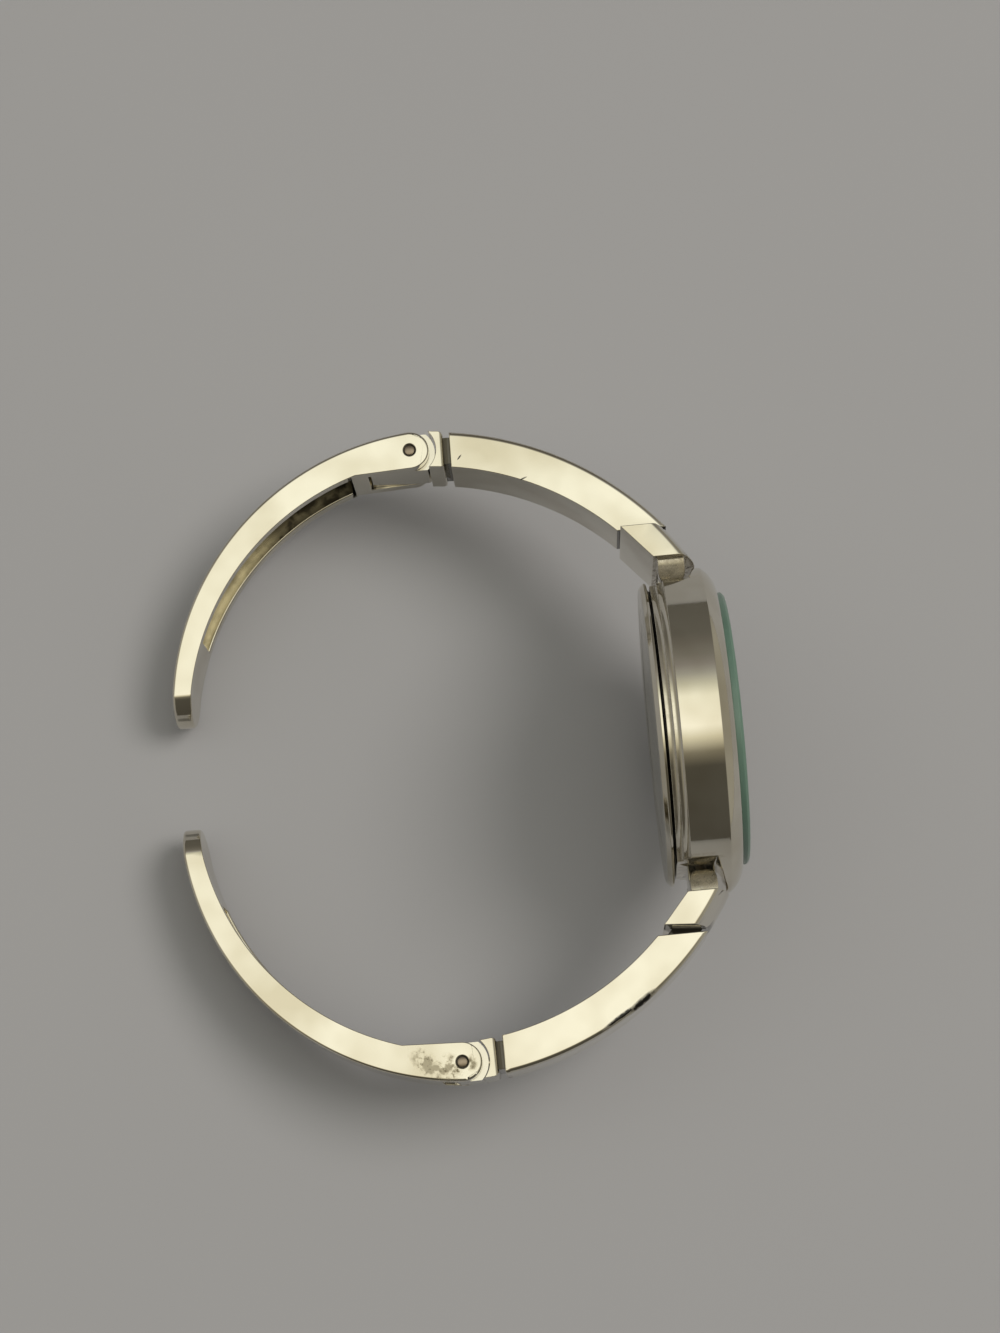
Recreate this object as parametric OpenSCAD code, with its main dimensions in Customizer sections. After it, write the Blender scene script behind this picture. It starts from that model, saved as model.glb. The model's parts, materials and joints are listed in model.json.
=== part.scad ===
// Cuff-bracelet watch, lying on its side as it is put down on a table.
// Bracelet axes: X out through the dial, Y towards 12 o'clock, Z towards 9 o'clock.
// lay() leans those axes until the crown and both cuff tips touch the plane z = 0.
// Lengths are millimetres, angles are degrees.

/* [Middle case] */
// Radius of the polished case band
case_r = 16.6; // [16.2:0.1:17.4]
// Thickness of the middle case, from its back plane to its front rim
mid_t = 6.7; // [6.5:0.1:7.4]
// How far the back plane lies behind the bracelet's datum plane
back_drop = 3.7; // [3.5:0.1:4.1]
// Wall from the bore, which takes the movement and the dial, to the polished band
case_wall = 3.7; // [3.5:0.05:4.1]
// Drop in radius at each of the two thin ring steps behind the band
step_drop = 0.5; // [0.3:0.05:0.6]
// Width of each ring step
step_w = 0.65; // [0.4:0.05:0.8]
// Width of the curved front shoulder, along the watch's axis
shoulder_w = 1.4; // [1.0:0.1:1.8]
// Radius of the shoulder's bulge in section
shoulder_bulge = 3.2; // [2.6:0.1:6]
// Width of the thin metal rim that surrounds the crystal's gasket
rim_w = 0.4; // [0.2:0.05:0.7]
// Depth of the crystal's seat below the front rim
seat_d = 1.25; // [1.0:0.05:1.5]
// Thickness of the ledge between the crystal's seat and the flange ring
ledge_t = 0.3; // [0.2:0.05:0.4]
// Width of that ledge
ledge_w = 0.6; // [0.4:0.05:0.9]

/* [Crystal, dial and markers] */
// Distance from the polished band in to the edge of the flat mineral crystal
glass_inset = 2.7; // [2.5:0.05:3.1]
// Thickness of the crystal
glass_t = 2.05; // [1.7:0.05:2.2]
// Chamfer round the crystal's front edge
glass_bevel = 0.25; // [0.1:0.05:0.4]
// Width of the gasket round the crystal
glass_gasket_w = 0.4; // [0.3:0.05:0.6]
// How far the crystal's gasket stays below the front rim
glass_gasket_sink = 0.1; // [0.05:0.05:0.3]
// Height of the flange ring between dial and ledge
flange_h = 0.6; // [0.5:0.05:0.8]
// Width of the flange ring
flange_w = 0.7; // [0.5:0.05:1.0]
// Thickness of the dial plate
dial_t = 0.4; // [0.3:0.05:0.5]
// Radius of the dial's centre hole
dial_hole_r = 0.85; // [0.8:0.05:1.2]
// Length of an hour bar
bar_l = 2.2; // [1.4:0.1:2.8]
// Width of an hour bar
bar_w = 0.5; // [0.3:0.05:0.8]
// Height of an hour bar above the dial
bar_h = 0.1; // [0.05:0.01:0.12]
// Gap from the flange ring to the hour bars
bar_gap = 0.6; // [0.3:0.1:1.0]
// Spacing of the two bars at 12 o'clock
twelve_spacing = 0.9; // [0.8:0.05:1.4]

/* [Case back] */
// Thickness of the back cover's plate
cover_t = 0.7; // [0.6:0.05:0.9]
// Distance from the polished band in to the back cover's edge
cover_inset = 1.1; // [1.0:0.1:1.6]
// Bevel round the back cover's outer edge
cover_bevel = 0.45; // [0.2:0.05:0.6]
// Width of the dark groove between cover and case
cover_groove = 0.25; // [0.15:0.05:0.4]
// How far the groove is cut in under the cover's edge
cover_undercut = 0.7; // [0.4:0.1:1.0]
// Length of the ring that snaps into the case
snap_l = 0.7; // [0.5:0.05:1.0]
// Wall of the snap ring
snap_w = 0.9; // [0.6:0.05:1.2]
// Width of the back gasket
back_gasket_w = 0.55; // [0.4:0.05:0.7]
// Thickness of the back gasket
back_gasket_t = 0.45; // [0.3:0.05:0.6]

/* [Crown and setting] */
// Distance from the datum plane to the crown's axis, towards the back
crown_back = 1.15; // [1.1:0.05:1.3]
// Radius of the crown
crown_r = 2.1; // [1.8:0.05:2.4]
// Length of the crown
crown_l = 2.45; // [2.2:0.05:3.0]
// Bevel at the crown's outer end
crown_bevel = 0.3; // [0.15:0.05:0.4]
// Number of flutes round the crown
crown_flutes = 22; // [16:1:28]
// Radius of each flute
flute_r = 0.14; // [0.1:0.01:0.2]
// Outer radius of the tube pressed into the case for the stem
tube_r = 0.9; // [0.85:0.05:1.0]
// Wall of that tube
tube_wall = 0.27; // [0.22:0.01:0.32]
// How far the tube stands out from the band
tube_out = 1.1; // [0.8:0.1:1.4]
// Radius of the crown stem
stem_r = 0.45; // [0.4:0.01:0.5]
// Distance from the watch's axis to the stem's inner end
stem_start = 4.5; // [4.2:0.1:5]
// Wall of the setting sleeve that slides with the stem
sleeve_wall = 0.35; // [0.25:0.05:0.4]
// Length of the setting sleeve
sleeve_l = 1.0; // [0.8:0.1:1.4]
// How far the crown pulls out to set the hands
crown_pull = 0.8; // [0.5:0.05:1.0]
// Width of the crown's sealing ring
crown_ring_w = 0.3; // [0.2:0.05:0.4]
// Thickness of the crown's sealing ring
crown_ring_t = 0.4; // [0.3:0.05:0.5]

/* [Movement] */
// Radius of the quartz movement's main plate
movement_r = 8.6; // [8.4:0.1:9.4]
// Thickness of the main plate
plate_t = 1.05; // [1.0:0.05:1.2]
// Depth of the motion-work recess in the plate's front
recess_d = 0.62; // [0.6:0.01:0.68]
// Module of the motion work's teeth
gear_module = 0.12; // [0.11:0.005:0.125]
// Height of the pillars that carry the train bridge
pillar_h = 1.15; // [1.0:0.05:1.3]
// Radius of each pillar
pillar_r = 0.5; // [0.4:0.05:0.6]
// Thickness of the train bridge
bridge_t = 0.3; // [0.25:0.05:0.35]
// Radius of the button cell
cell_r = 3.4; // [3.0:0.05:3.45]
// Thickness of the button cell
cell_t = 2.1; // [1.8:0.05:2.15]
// Distance from the watch's axis to the cell's centre
cell_off = 5.05; // [5.02:0.01:5.15]
// Radius of the coil winding
coil_r = 1.0; // [0.8:0.05:1.05]
// Length of the coil winding
coil_l = 6.6; // [5:0.1:7]
// Distance from the watch's axis to the coil
coil_off = 6.5; // [6.4:0.05:6.7]
// Radius of the fourth wheel, which carries the seconds
fourth_r = 1.5; // [1.2:0.05:1.55]
// Thickness of a thin spring-steel strip
strip_t = 0.2; // [0.15:0.01:0.22]
// Radius of the hole in the stator round the rotor
rotor_hole_r = 0.8; // [0.6:0.05:1]
// Width of the clamp strip over the cell
clamp_w = 2; // [1.4:0.1:2.6]
// Width of the circuit board
board_w = 3.6; // [3:0.1:3.8]
// Length of the circuit board
board_l = 4.8; // [4:0.1:5]
// Edge length of the chip on the circuit board
chip_w = 1.8; // [1.2:0.1:2.2]
// Radius of the seconds arbor
arbor_r = 0.14; // [0.12:0.01:0.15]
// Wall of the cannon pinion's pipe
cannon_wall = 0.22; // [0.18:0.01:0.24]
// Wall of the hour wheel's pipe
hour_wall = 0.22; // [0.15:0.01:0.22]

/* [Hands] */
// Distance from the hour hand's tip to the flange ring
hour_short = 5.55; // [4.5:0.05:6.5]
// Distance from the minute hand's tip to the flange ring
minute_short = 1.95; // [1.2:0.05:3]
// Distance from the second hand's tip to the flange ring
second_short = 1.35; // [0.8:0.05:3]
// Width of the hour hand
hour_w = 0.9; // [0.6:0.05:1.2]
// Width of the minute hand
minute_w = 0.7; // [0.5:0.05:1.0]
// Width of the second hand
second_w = 0.2; // [0.12:0.02:0.3]
// Thickness of each hand
hand_t = 0.12; // [0.08:0.01:0.13]
// Gap between the dial and the hour hand, and between the hands
hand_gap = 0.12; // [0.11:0.005:0.13]
// Width of the round boss of each hand beyond its pipe
hand_boss = 0.32; // [0.25:0.01:0.4]
// Length of the hour hand's tail
hour_tail = 1.4; // [1:0.1:2]
// Length of the minute hand's tail
minute_tail = 1.8; // [1:0.1:2.4]
// Length of the second hand's tail
second_tail = 3; // [2:0.1:3.6]
// Angle of the hour hand from 12 o'clock, which also sets the minute hand
hour_angle = 305; // [0:0.5:359.5]
// Angle of the second hand from 12 o'clock
second_angle = 210; // [0:1:359]

/* [Case notches and end links] */
// Depth of the notches at 12 and 6 o'clock, from the polished band in
notch_d = 2.6; // [2.3:0.1:2.7]
// Reach of the notch floor towards the front, from the datum plane
notch_front = 0.25; // [0.2:0.05:0.5]
// How far the notch's front wall slants outwards
notch_slant = 0.9; // [0.4:0.1:1.0]
// Distance from the polished band in to the lug pins
lug_d = 0.85; // [0.7:0.05:1]
// Distance from the datum plane to the lug pins, towards the back
lug_back = 1.2; // [1.1:0.05:1.3]
// Width of the case's central lug tab
lug_w = 4.8; // [4:0.1:5.4]
// Radius of the end link's barrel round the lug pin
barrel_r = 1.35; // [1.2:0.05:1.4]
// Radius of a lug pin
lug_pin_r = 0.5; // [0.4:0.05:0.6]
// Width of an end link
end_w = 14; // [12:0.2:15]
// Width of the end link's barrel
barrel_w = 11.6; // [9:0.2:11.8]
// Rounding of the barrel's ends towards the case, seen from the front
barrel_round = 2.6; // [2.2:0.1:2.7]
// Distance from the barrel's ends in to the lug pin's ends
lug_pin_in = 1.5; // [1.2:0.1:2]
// Gap between the polished band and the end link
end_gap = 0.4; // [0.3:0.05:0.9]
// Length of the end link up to the seam
end_l = 3.1; // [2.8:0.05:3.5]
// How much farther out the end link's seam face is at its outer edge
seam_rake = 0.35; // [0.2:0.05:0.4]
// Gap of the seam on its inner side
seam_gap = 0.65; // [0.55:0.05:0.9]
// Distance from the datum plane back to the end link's inner edge at its near end
end_back = 2.95; // [2.7:0.05:3.2]

/* [Arc links] */
// How far the arc links' circle reaches in front of the datum plane
arc_front = 6.1; // [5.8:0.1:6.3]
// Outer radius of the arc links
arc_r = 33.3; // [33:0.1:33.8]
// Thickness of the arc links
arc_t = 3.8; // [3.6:0.1:4.2]
// Width of the arc links and the hinge blocks
arc_w = 8; // [7.6:0.1:8.6]
// Rounding of the outer edges
edge_round = 0.35; // [0.2:0.05:0.5]
// Radius of the crown across the outer faces of the end links
crown_across = 21; // [19:0.5:26]
// Distance from the seam to the tongue pin, along Y
tongue_run = 2.05; // [1.9:0.05:2.4]
// Radius of the tongue's round end
tongue_r = 1.25; // [1.1:0.05:1.35]
// Width of the tongue between the link's cheeks
tongue_w = 4.8; // [4:0.1:5.2]
// Radius of the tongue pin
tongue_pin_r = 0.5; // [0.4:0.05:0.6]
// Free play at the swing limits round the tongue
tongue_play = 0.16; // [0.14:0.01:0.22]

/* [Sprung hinge] */
// Angle of the hinge pin round the arc, from the X axis
hinge_angle = 89; // [87:0.5:91]
// Radius of the round ear ends
ear_r = 1.95; // [1.85:0.05:2.1]
// Width of the fork slot between the ears
fork_w = 5.3; // [4.8:0.1:5.6]
// Depth of the fork slot behind the hinge pin, on the inner side
fork_d = 4.5; // [3.6:0.1:5.2]
// Clearance between the slider and the ends of the fork slot
fork_gap = 0.25; // [0.15:0.05:0.5]
// Radius of the slider's nose
nose_r = 2.55; // [2.4:0.05:2.7]
// Clearance between the nose and the collar
nose_gap = 0.15; // [0.12:0.01:0.25]
// Distance from the hinge pin to the collar's far face
collar_end = 3.5; // [3.4:0.05:3.6]
// Distance from the hinge pin to the arc link's end face
arc_end = 4.15; // [4.0:0.05:4.4]
// How far the collar's neck is set in below the link
neck_inset = 0.5; // [0.3:0.05:0.7]
// Radius of the hinge pin
hinge_pin_r = 0.45; // [0.4:0.01:0.5]
// Radius of the recess round the pin's end
pin_recess_r = 0.65; // [0.6:0.01:0.75]
// Depth of that recess
pin_recess_d = 0.35; // [0.2:0.05:0.5]
// How far the pin's end stands up in its recess
pin_stand = 0.2; // [0.1:0.05:0.25]
// Radius of the spring channel
channel_r = 1.15; // [1.0:0.05:1.2]
// Length of the spring channel
channel_l = 6.5; // [6.2:0.1:6.8]
// Radius of the slider's stem
slider_stem_r = 0.5; // [0.4:0.05:0.55]
// Length of the collar's plug in the channel
plug_l = 0.9; // [0.7:0.05:1.1]
// Length of the return spring
spring_l = 3.4; // [3.0:0.1:3.6]
// Length of the slider's retaining nut
nut_l = 0.9; // [0.7:0.05:1.2]

/* [Cuff arms] */
// Distance of the arms' centre in front of the hinge pins
arm_forward = 1.95; // [1.5:0.05:2.4]
// Outer radius of the arms
arm_r = 28.3; // [28.1:0.05:28.5]
// Thickness of the bow at the hinge, where the round ear is thicker
arm_root_t = 3.05; // [2.9:0.05:3.4]
// Angle where the bow starts to thicken towards the ear
flare_from = 107; // [104:1:108]
// Thickness at the tip
arm_tip_t = 1.75; // [1.6:0.05:2.1]
// Width of the arms at the tip
arm_tip_w = 7.4; // [7:0.1:7.8]
// Distance from the watch's axis to the arms' tips
tip_y = 5.3; // [4.5:0.1:7]
// Radius of the tip's rounding, seen from outside
tip_round = 3.85; // [3.8:0.05:4.5]
// Angle where the pocket in the back of an arm starts
pocket_from = 109; // [107:1:114]
// Angle where the pocket ends, towards the tip
pocket_to = 161; // [150:1:164]
// Width of the pocket
pocket_w = 5.2; // [4.4:0.1:5.6]
// Metal left between the pocket and the outer face
pocket_wall = 0.9; // [0.7:0.05:1.1]

/* [Hidden] */
// Running clearance of a pin or shaft in its hole, on the radius
run = 0.05;
// Side clearance between link faces that pass each other
side = 0.1;
// Running gap between parts that pass without a fit
pass_gap = 0.15;
// Overshoot of a cutting shape past the face that it cuts
cut = 1;
// Facet count that marks a true curve
$fn = 96;

// Radii and distances that follow the case's band
bore_r = case_r - case_wall;
glass_r = case_r - glass_inset;
cover_r = case_r - cover_inset;
notch_floor = case_r - notch_d;
lug_y = case_r - lug_d;
end_start = case_r + end_gap;
seam_y = end_start + end_l;

// Stations along X, from the back to the front
back_x = -back_drop;
rim_x = mid_t - back_drop;
seat_x = rim_x - seat_d;
ledge_x = seat_x - ledge_t;
dial_x = ledge_x - flange_h;
plate_x = dial_x - dial_t;
plate_back_x = plate_x - plate_t;
recess_x = plate_x - recess_d;
bridge_x = plate_back_x - pillar_h;
step_x = back_x + 2 * step_w;
shoulder_x = rim_x - shoulder_w;
snap_x = back_x + snap_l;
groove_x = back_x - cover_groove;
cover_x = groove_x - cover_t;
glass_x = seat_x + glass_t;
hour_x = dial_x + hand_gap;
minute_x = hour_x + hand_t + hand_gap;
second_x = minute_x + hand_t + hand_gap;

// Radii of the stack in the case
seat_r = glass_r + glass_gasket_w;
rim_r = seat_r + rim_w;
stack_r = bore_r - run;
ledge_r = bore_r - ledge_w;
flange_in_r = stack_r - flange_w;

// Centre of the shoulder's bulge, in the plane of the case's section
shoulder_chord = [case_r - rim_r, shoulder_w];
shoulder_half = norm(shoulder_chord) / 2;
shoulder_sink = sqrt(pow(shoulder_bulge, 2) - pow(shoulder_half, 2)) / (2 * shoulder_half);
shoulder_c = [(case_r + rim_r) / 2 - shoulder_sink * shoulder_w,
              (shoulder_x + rim_x) / 2 - shoulder_sink * (case_r - rim_r)];

// Crown and stem, measured outwards from the watch's axis
crown_start = case_r + pass_gap;
crown_end = crown_start + crown_l;
tube_end = case_r + tube_out;
tube_hole_r = tube_r - tube_wall;
crown_well_r = tube_r + pass_gap;
crown_ring_r = crown_well_r + crown_ring_w;
crown_well_l = tube_end - crown_start + pass_gap;
sleeve_r = stem_r + run + sleeve_wall;
sleeve_start = stem_start + pass_gap;
channel_clear_r = sleeve_r + side;

// Lengths of the hands from the centre
hour_l = flange_in_r - hour_short;
minute_l = flange_in_r - minute_short;
second_l = flange_in_r - second_short;

// Outline of each hand: where it is widest, and its tail's half width, as shares
hand_taper = 0.72;
hand_tail_share = 0.4;

// Motion work: cannon pinion, minute wheel with its pinion, hour wheel
gear_t = 0.19;
gear_end_gap = 0.07;
gear_pass = 0.02;
cannon_teeth = 10;
minute_teeth = 30;
pinion_teeth = 8;
hour_teeth = 32;
gear_off = gear_module * (cannon_teeth + minute_teeth) / 2;
gear_base_x = recess_x + gear_end_gap;
gear_mid_x = gear_base_x + gear_t;
gear_top_x = plate_x - gear_end_gap;
minute_post_r = 0.15;
// Tooth shape, in modules
addendum = 0.8;
dedendum = 1.15;
tooth_root = 0.68;
tooth_tip = 0.3;
cannon_in_r = arbor_r + run;
cannon_r = cannon_in_r + cannon_wall;
hour_in_r = cannon_r + run;
hour_pipe_r = hour_in_r + hour_wall;
recess_clear = 0.35;
fourth_x = plate_back_x - strip_t - side;
fourth_t = 0.2;
bridge_r = movement_r - strip_t;
board_inset = 0.8;

// Arc link, hinge pin and tongue pin of the 12 o'clock side
arc_cx = arc_r - arc_front;
arc_in_r = arc_r - arc_t;
arc_mid_r = arc_r - arc_t / 2;
hinge_x = arc_mid_r * cos(hinge_angle) - arc_cx;
hinge_y = arc_mid_r * sin(hinge_angle);
tongue_y = seam_y + tongue_run;
tongue_angle = asin(tongue_y / arc_mid_r);
tongue_x = arc_mid_r * cos(tongue_angle) - arc_cx;

// The spring channel is a chord of the arc link's middle circle
channel_inset = arc_mid_r - sqrt(pow(arc_mid_r, 2) - pow(arc_end, 2));
channel_slope = asin((arc_end + channel_l / 2) / arc_mid_r);
spring_start = plug_l + run;
nut_start = spring_start + spring_l + run;
hinge_pin_l = arc_w - 2 * (pin_recess_d - pin_stand);

// Metal left in front of a blind pin hole
blind = 1.0;

// A station beyond the end link's outer face, where its outline is closed
end_bound = arc_r;

// Cuff arm: its outer circle meets the round ear at the hinge
arm_cx = -hinge_x - arm_forward;
arm_cy = hinge_y + ear_r - arm_r;
arm_in_r = arm_r - arm_tip_t;
arm_in_cy = arm_cy - (arm_root_t - arm_tip_t);
tip_start = tip_y + tip_round - sqrt(pow(tip_round, 2) - pow(arm_tip_w / 2, 2));

// The bow's thickening: a straight line from its inner face to the round ear
flare_x = arm_in_r * cos(flare_from) - arm_cx;
flare_y = arm_in_r * sin(flare_from) + arm_in_cy;
flare_run = norm([flare_x - hinge_x, flare_y - hinge_y]);
flare_ear_r = ear_r - pass_gap / 3;
flare_turn = atan2(flare_y - hinge_y, flare_x - hinge_x) + acos(flare_ear_r / flare_run);
flare_sink = arm_tip_t / 2;

// Lean of the bracelet axes: the crown's lower edge and the arms' lower outer edges touch z = 0
contact_crown = [-crown_back - crown_r + crown_bevel, -crown_end];
tip_out_x = -arm_cx - sqrt(pow(arm_r, 2) - pow(tip_start - arm_cy, 2));
contact_arm = [tip_out_x + edge_round, edge_round - arm_tip_w / 2];
contact_d = norm(contact_crown - contact_arm);
lean = atan2(contact_arm[1] - contact_crown[1], contact_crown[0] - contact_arm[0])
     - asin(edge_round / contact_d);
lift = -contact_crown[0] * sin(lean) - contact_crown[1] * cos(lean);

// Reach of the leaned watch towards +X and -X, which centres it on the origin
function reach(x, z) = x * cos(lean) - z * sin(lean);
function tip_half(y) = sqrt(pow(tip_round, 2) - pow(tip_y + tip_round - y, 2));
front_reach = max(reach(glass_x, glass_bevel - glass_r), reach(rim_x, -rim_r),
                  reach(crown_r - crown_back, crown_bevel - crown_end));
back_reach = min([for (y = [tip_y : 0.1 : tip_start])
    reach(edge_round - arm_cx - sqrt(pow(arm_r, 2) - pow(y - arm_cy, 2)),
          max(0, tip_half(y) - edge_round)) - edge_round]);
shift = -(front_reach + back_reach) / 2;

steel = "#c9c8c2";
dark_steel = "#9a9992";
rubber = "#2b2b2b";
brass = "#b89a55";
silver_dial = "#dcdcd6";

// Places a shape from the bracelet axes into the frame that stands on the table
module lay() {
    translate([shift, 0, lift]) rotate([0, -lean, 0]) children();
}

// Turns a section drawn as (radius, X) round the watch's axis
module turned() {
    rotate([0, 90, 0]) rotate_extrude() children();
}

// A disc or ring round the watch's axis between two stations
module ring(x0, x1, r, hole = 0) {
    turned() translate([hole, x0]) square([r - hole, x1 - x0]);
}

// A cylinder along X through a point of the movement
module post(x0, x1, y, z, r) {
    translate([x0, y, z]) rotate([0, 90, 0]) cylinder(h = x1 - x0, r = r);
}

// A cylinder along Z, the direction of all bracelet pins
module pin(x, y, r, h) {
    translate([x, y, 0]) cylinder(h = h, r = r, center = true);
}

// The 6 o'clock side is the mirror image of the 12 o'clock side
module at_side(six) {
    mirror([0, six ? 1 : 0, 0]) children();
}

// Middle case

module case_section() {
    difference() {
        union() {
            translate([ledge_r, back_x]) square([case_r - 2 * step_drop - ledge_r, mid_t]);
            translate([ledge_r, back_x + step_w])
                square([case_r - step_drop - ledge_r, shoulder_x - back_x - step_w]);
            translate([ledge_r, step_x]) square([case_r - ledge_r, shoulder_x - step_x]);
            intersection() {
                translate(shoulder_c) circle(r = shoulder_bulge);
                translate([ledge_r, shoulder_x]) square([case_r - ledge_r, shoulder_w]);
            }
        }
        translate([rim_r, shoulder_x]) difference() {
            square([case_r, shoulder_w + cut]);
            translate(shoulder_c - [rim_r, shoulder_x]) circle(r = shoulder_bulge);
        }
        translate([0, back_x - cut]) square([bore_r, ledge_x - back_x + cut]);
        translate([0, seat_x]) square([seat_r, seat_d + cut]);
        translate([0, back_x - cut]) square([stack_r + back_gasket_w, back_gasket_t + cut]);
    }
}

module notch() {
    translate([0, 0, -case_r]) linear_extrude(height = 2 * case_r)
        polygon([
            [back_x - cut, notch_floor],
            [notch_front, notch_floor],
            [notch_front + notch_slant * (case_r + cut - notch_floor) / (case_r - notch_floor),
             case_r + cut],
            [back_x - cut, case_r + cut]]);
}

module lug_tab() {
    difference() {
        union() {
            pin(-lug_back, lug_y, barrel_r, lug_w);
            translate([-lug_back - barrel_r, notch_floor - pass_gap, -lug_w / 2])
                cube([2 * barrel_r, lug_y - notch_floor + pass_gap, lug_w]);
        }
        pin(-lug_back, lug_y, lug_pin_r + run, lug_w + cut);
    }
}

module case_body() {
    color(steel) lay() difference() {
        union() {
            difference() {
                turned() case_section();
                notch();
                mirror([0, 1, 0]) notch();
            }
            lug_tab();
            mirror([0, 1, 0]) lug_tab();
        }
        translate([-crown_back, 0, -case_r - cut]) cylinder(h = case_r, r = tube_r);
    }
}

// Case back

module case_back() {
    color(steel) lay() turned() union() {
        polygon([
            [0, cover_x], [cover_r - cover_bevel, cover_x], [cover_r, cover_x + cover_bevel],
            [cover_r, groove_x], [0, groove_x]]);
        translate([0, groove_x - cover_t / 2])
            square([cover_r - cover_undercut, cover_groove + cover_t / 2]);
        translate([stack_r - snap_w, back_x]) square([snap_w, snap_l]);
    }
}

module case_back_gasket() {
    color(rubber) lay() ring(back_x, back_x + back_gasket_t, stack_r + back_gasket_w, stack_r);
}

// Crystal, flange and dial

module crystal() {
    color("#9fc4b4") lay() turned() polygon([
        [0, seat_x], [glass_r, seat_x], [glass_r, glass_x - glass_bevel],
        [glass_r - glass_bevel, glass_x], [0, glass_x]]);
}

module crystal_gasket() {
    color(rubber) lay() ring(seat_x, rim_x - glass_gasket_sink, seat_r, glass_r);
}

module flange_ring() {
    color(silver_dial) lay() ring(dial_x, ledge_x, stack_r, flange_in_r);
}

module dial() {
    color(silver_dial) lay() ring(plate_x, dial_x, stack_r, dial_hole_r);
}

// One bar lies radially at the clock angle, measured from 12 o'clock towards 3 o'clock
module hour_bar(angle, along = 0) {
    rotate([-angle, 0, 0]) translate([dial_x, flange_in_r - bar_gap - bar_l, along - bar_w / 2])
        cube([bar_h, bar_l, bar_w]);
}

module hour_markers() {
    color(dark_steel) lay() {
        for (hour = [1 : 11]) hour_bar(hour * 30);
        for (along = [-1, 1]) hour_bar(0, along * twelve_spacing / 2);
    }
}

// Movement

module movement_holder() {
    color("#e8e6df") lay() difference() {
        ring(snap_x, plate_x, stack_r, movement_r + run);
        translate([-crown_back, 0, -bore_r]) cylinder(h = bore_r, r = sleeve_r);
    }
}

module main_plate() {
    color(brass) lay() difference() {
        union() {
            ring(plate_back_x, plate_x, movement_r, arbor_r + run);
            for (angle = [40, 140, 215, 325]) rotate([angle, 0, 0])
                post(bridge_x, plate_back_x + plate_t / 2, 0, movement_r - 2 * pillar_r, pillar_r);
            post(recess_x, gear_top_x, 0, gear_off, minute_post_r);
        }
        difference() {
            union() {
                post(recess_x, plate_x + cut, 0, 0, gear_module * hour_teeth / 2 + recess_clear);
                post(recess_x, plate_x + cut, 0, gear_off,
                     gear_module * minute_teeth / 2 + recess_clear);
            }
            post(recess_x - cut, gear_top_x, 0, gear_off, minute_post_r);
        }
        translate([-crown_back, 0, -movement_r - cut])
            cylinder(h = movement_r + cut - stem_start + pass_gap, r = channel_clear_r);
    }
}

module train_bridge() {
    color(brass) lay() difference() {
        ring(bridge_x - bridge_t, bridge_x, bridge_r, arbor_r + run);
        post(bridge_x - cut, bridge_x + cut, -cell_off, 0, cell_r + side);
        translate([bridge_x - cut, coil_off - coil_r - side, -movement_r])
            cube([2 * cut, movement_r, 2 * movement_r]);
        translate([bridge_x - cut, -channel_clear_r, -movement_r])
            cube([2 * cut, 2 * channel_clear_r, movement_r - stem_start + pass_gap]);
    }
}

module motor_coil() {
    color("#a5562c") lay() translate([plate_back_x - coil_r, coil_off, 0])
        cylinder(h = coil_l, r = coil_r, center = true);
}

module motor_stator() {
    stator_start = fourth_r + 2 * pass_gap;
    stator_end = coil_off - coil_r - pass_gap;
    color(dark_steel) lay() difference() {
        translate([plate_back_x - strip_t, stator_start, -coil_l / 2])
            cube([strip_t, stator_end - stator_start, coil_l]);
        post(plate_back_x - cut, plate_back_x + cut, (stator_start + stator_end) / 2, 0,
             rotor_hole_r);
    }
}

module circuit_board() {
    color("#3f6b4a") lay() translate([bridge_x - bridge_t - strip_t, stem_r + board_inset,
                                      board_inset]) {
        cube([strip_t, board_w, board_l]);
        translate([-2 * strip_t, (board_w - chip_w) / 2, (board_l - chip_w) / 2])
            cube([2 * strip_t, chip_w, chip_w]);
    }
}

module button_cell() {
    color(steel) lay() post(plate_back_x - cell_t, plate_back_x, -cell_off, 0, cell_r);
}

module cell_clamp() {
    color(steel) lay() translate([plate_back_x - cell_t - strip_t, -cell_off - clamp_w / 2, -cell_r])
        cube([strip_t, clamp_w, 2 * cell_r]);
}

// Crown and setting parts, along -Z

module along_stem(start) {
    translate([-crown_back, 0, -start]) mirror([0, 0, 1]) children();
}

module crown_tube() {
    color(steel) lay() along_stem(bore_r - run) difference() {
        cylinder(h = tube_end - bore_r + run, r = tube_r);
        translate([0, 0, -cut]) cylinder(h = crown_end, r = tube_hole_r);
    }
}

module crown() {
    color(steel) lay() along_stem(crown_start) difference() {
        union() {
            cylinder(h = crown_l - crown_bevel, r = crown_r);
            translate([0, 0, crown_l - crown_bevel])
                cylinder(h = crown_bevel, r1 = crown_r, r2 = crown_r - crown_bevel);
        }
        for (i = [0 : crown_flutes - 1]) rotate([0, 0, (i + 0.5) * 360 / crown_flutes])
            translate([crown_r, 0, crown_bevel]) cylinder(h = crown_l, r = flute_r, $fn = 24);
        translate([0, 0, -cut]) cylinder(h = crown_well_l + cut, r = crown_well_r);
        translate([0, 0, pass_gap]) cylinder(h = crown_ring_t, r = crown_ring_r);
        cylinder(h = crown_well_l + blind / 2, r = stem_r);
    }
}

module crown_seal() {
    color(rubber) lay() along_stem(crown_start + pass_gap) difference() {
        cylinder(h = crown_ring_t, r = crown_ring_r);
        translate([0, 0, -cut]) cylinder(h = crown_l, r = tube_r + run);
    }
}

module crown_stem() {
    color(dark_steel) lay() along_stem(stem_start)
        cylinder(h = crown_start + crown_well_l + blind / 2 - stem_start, r = stem_r);
}

module setting_sleeve() {
    color(brass) lay() along_stem(sleeve_start) difference() {
        cylinder(h = sleeve_l, r = sleeve_r);
        translate([0, 0, -cut]) cylinder(h = sleeve_l + 2 * cut, r = stem_r + run);
    }
}

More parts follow.
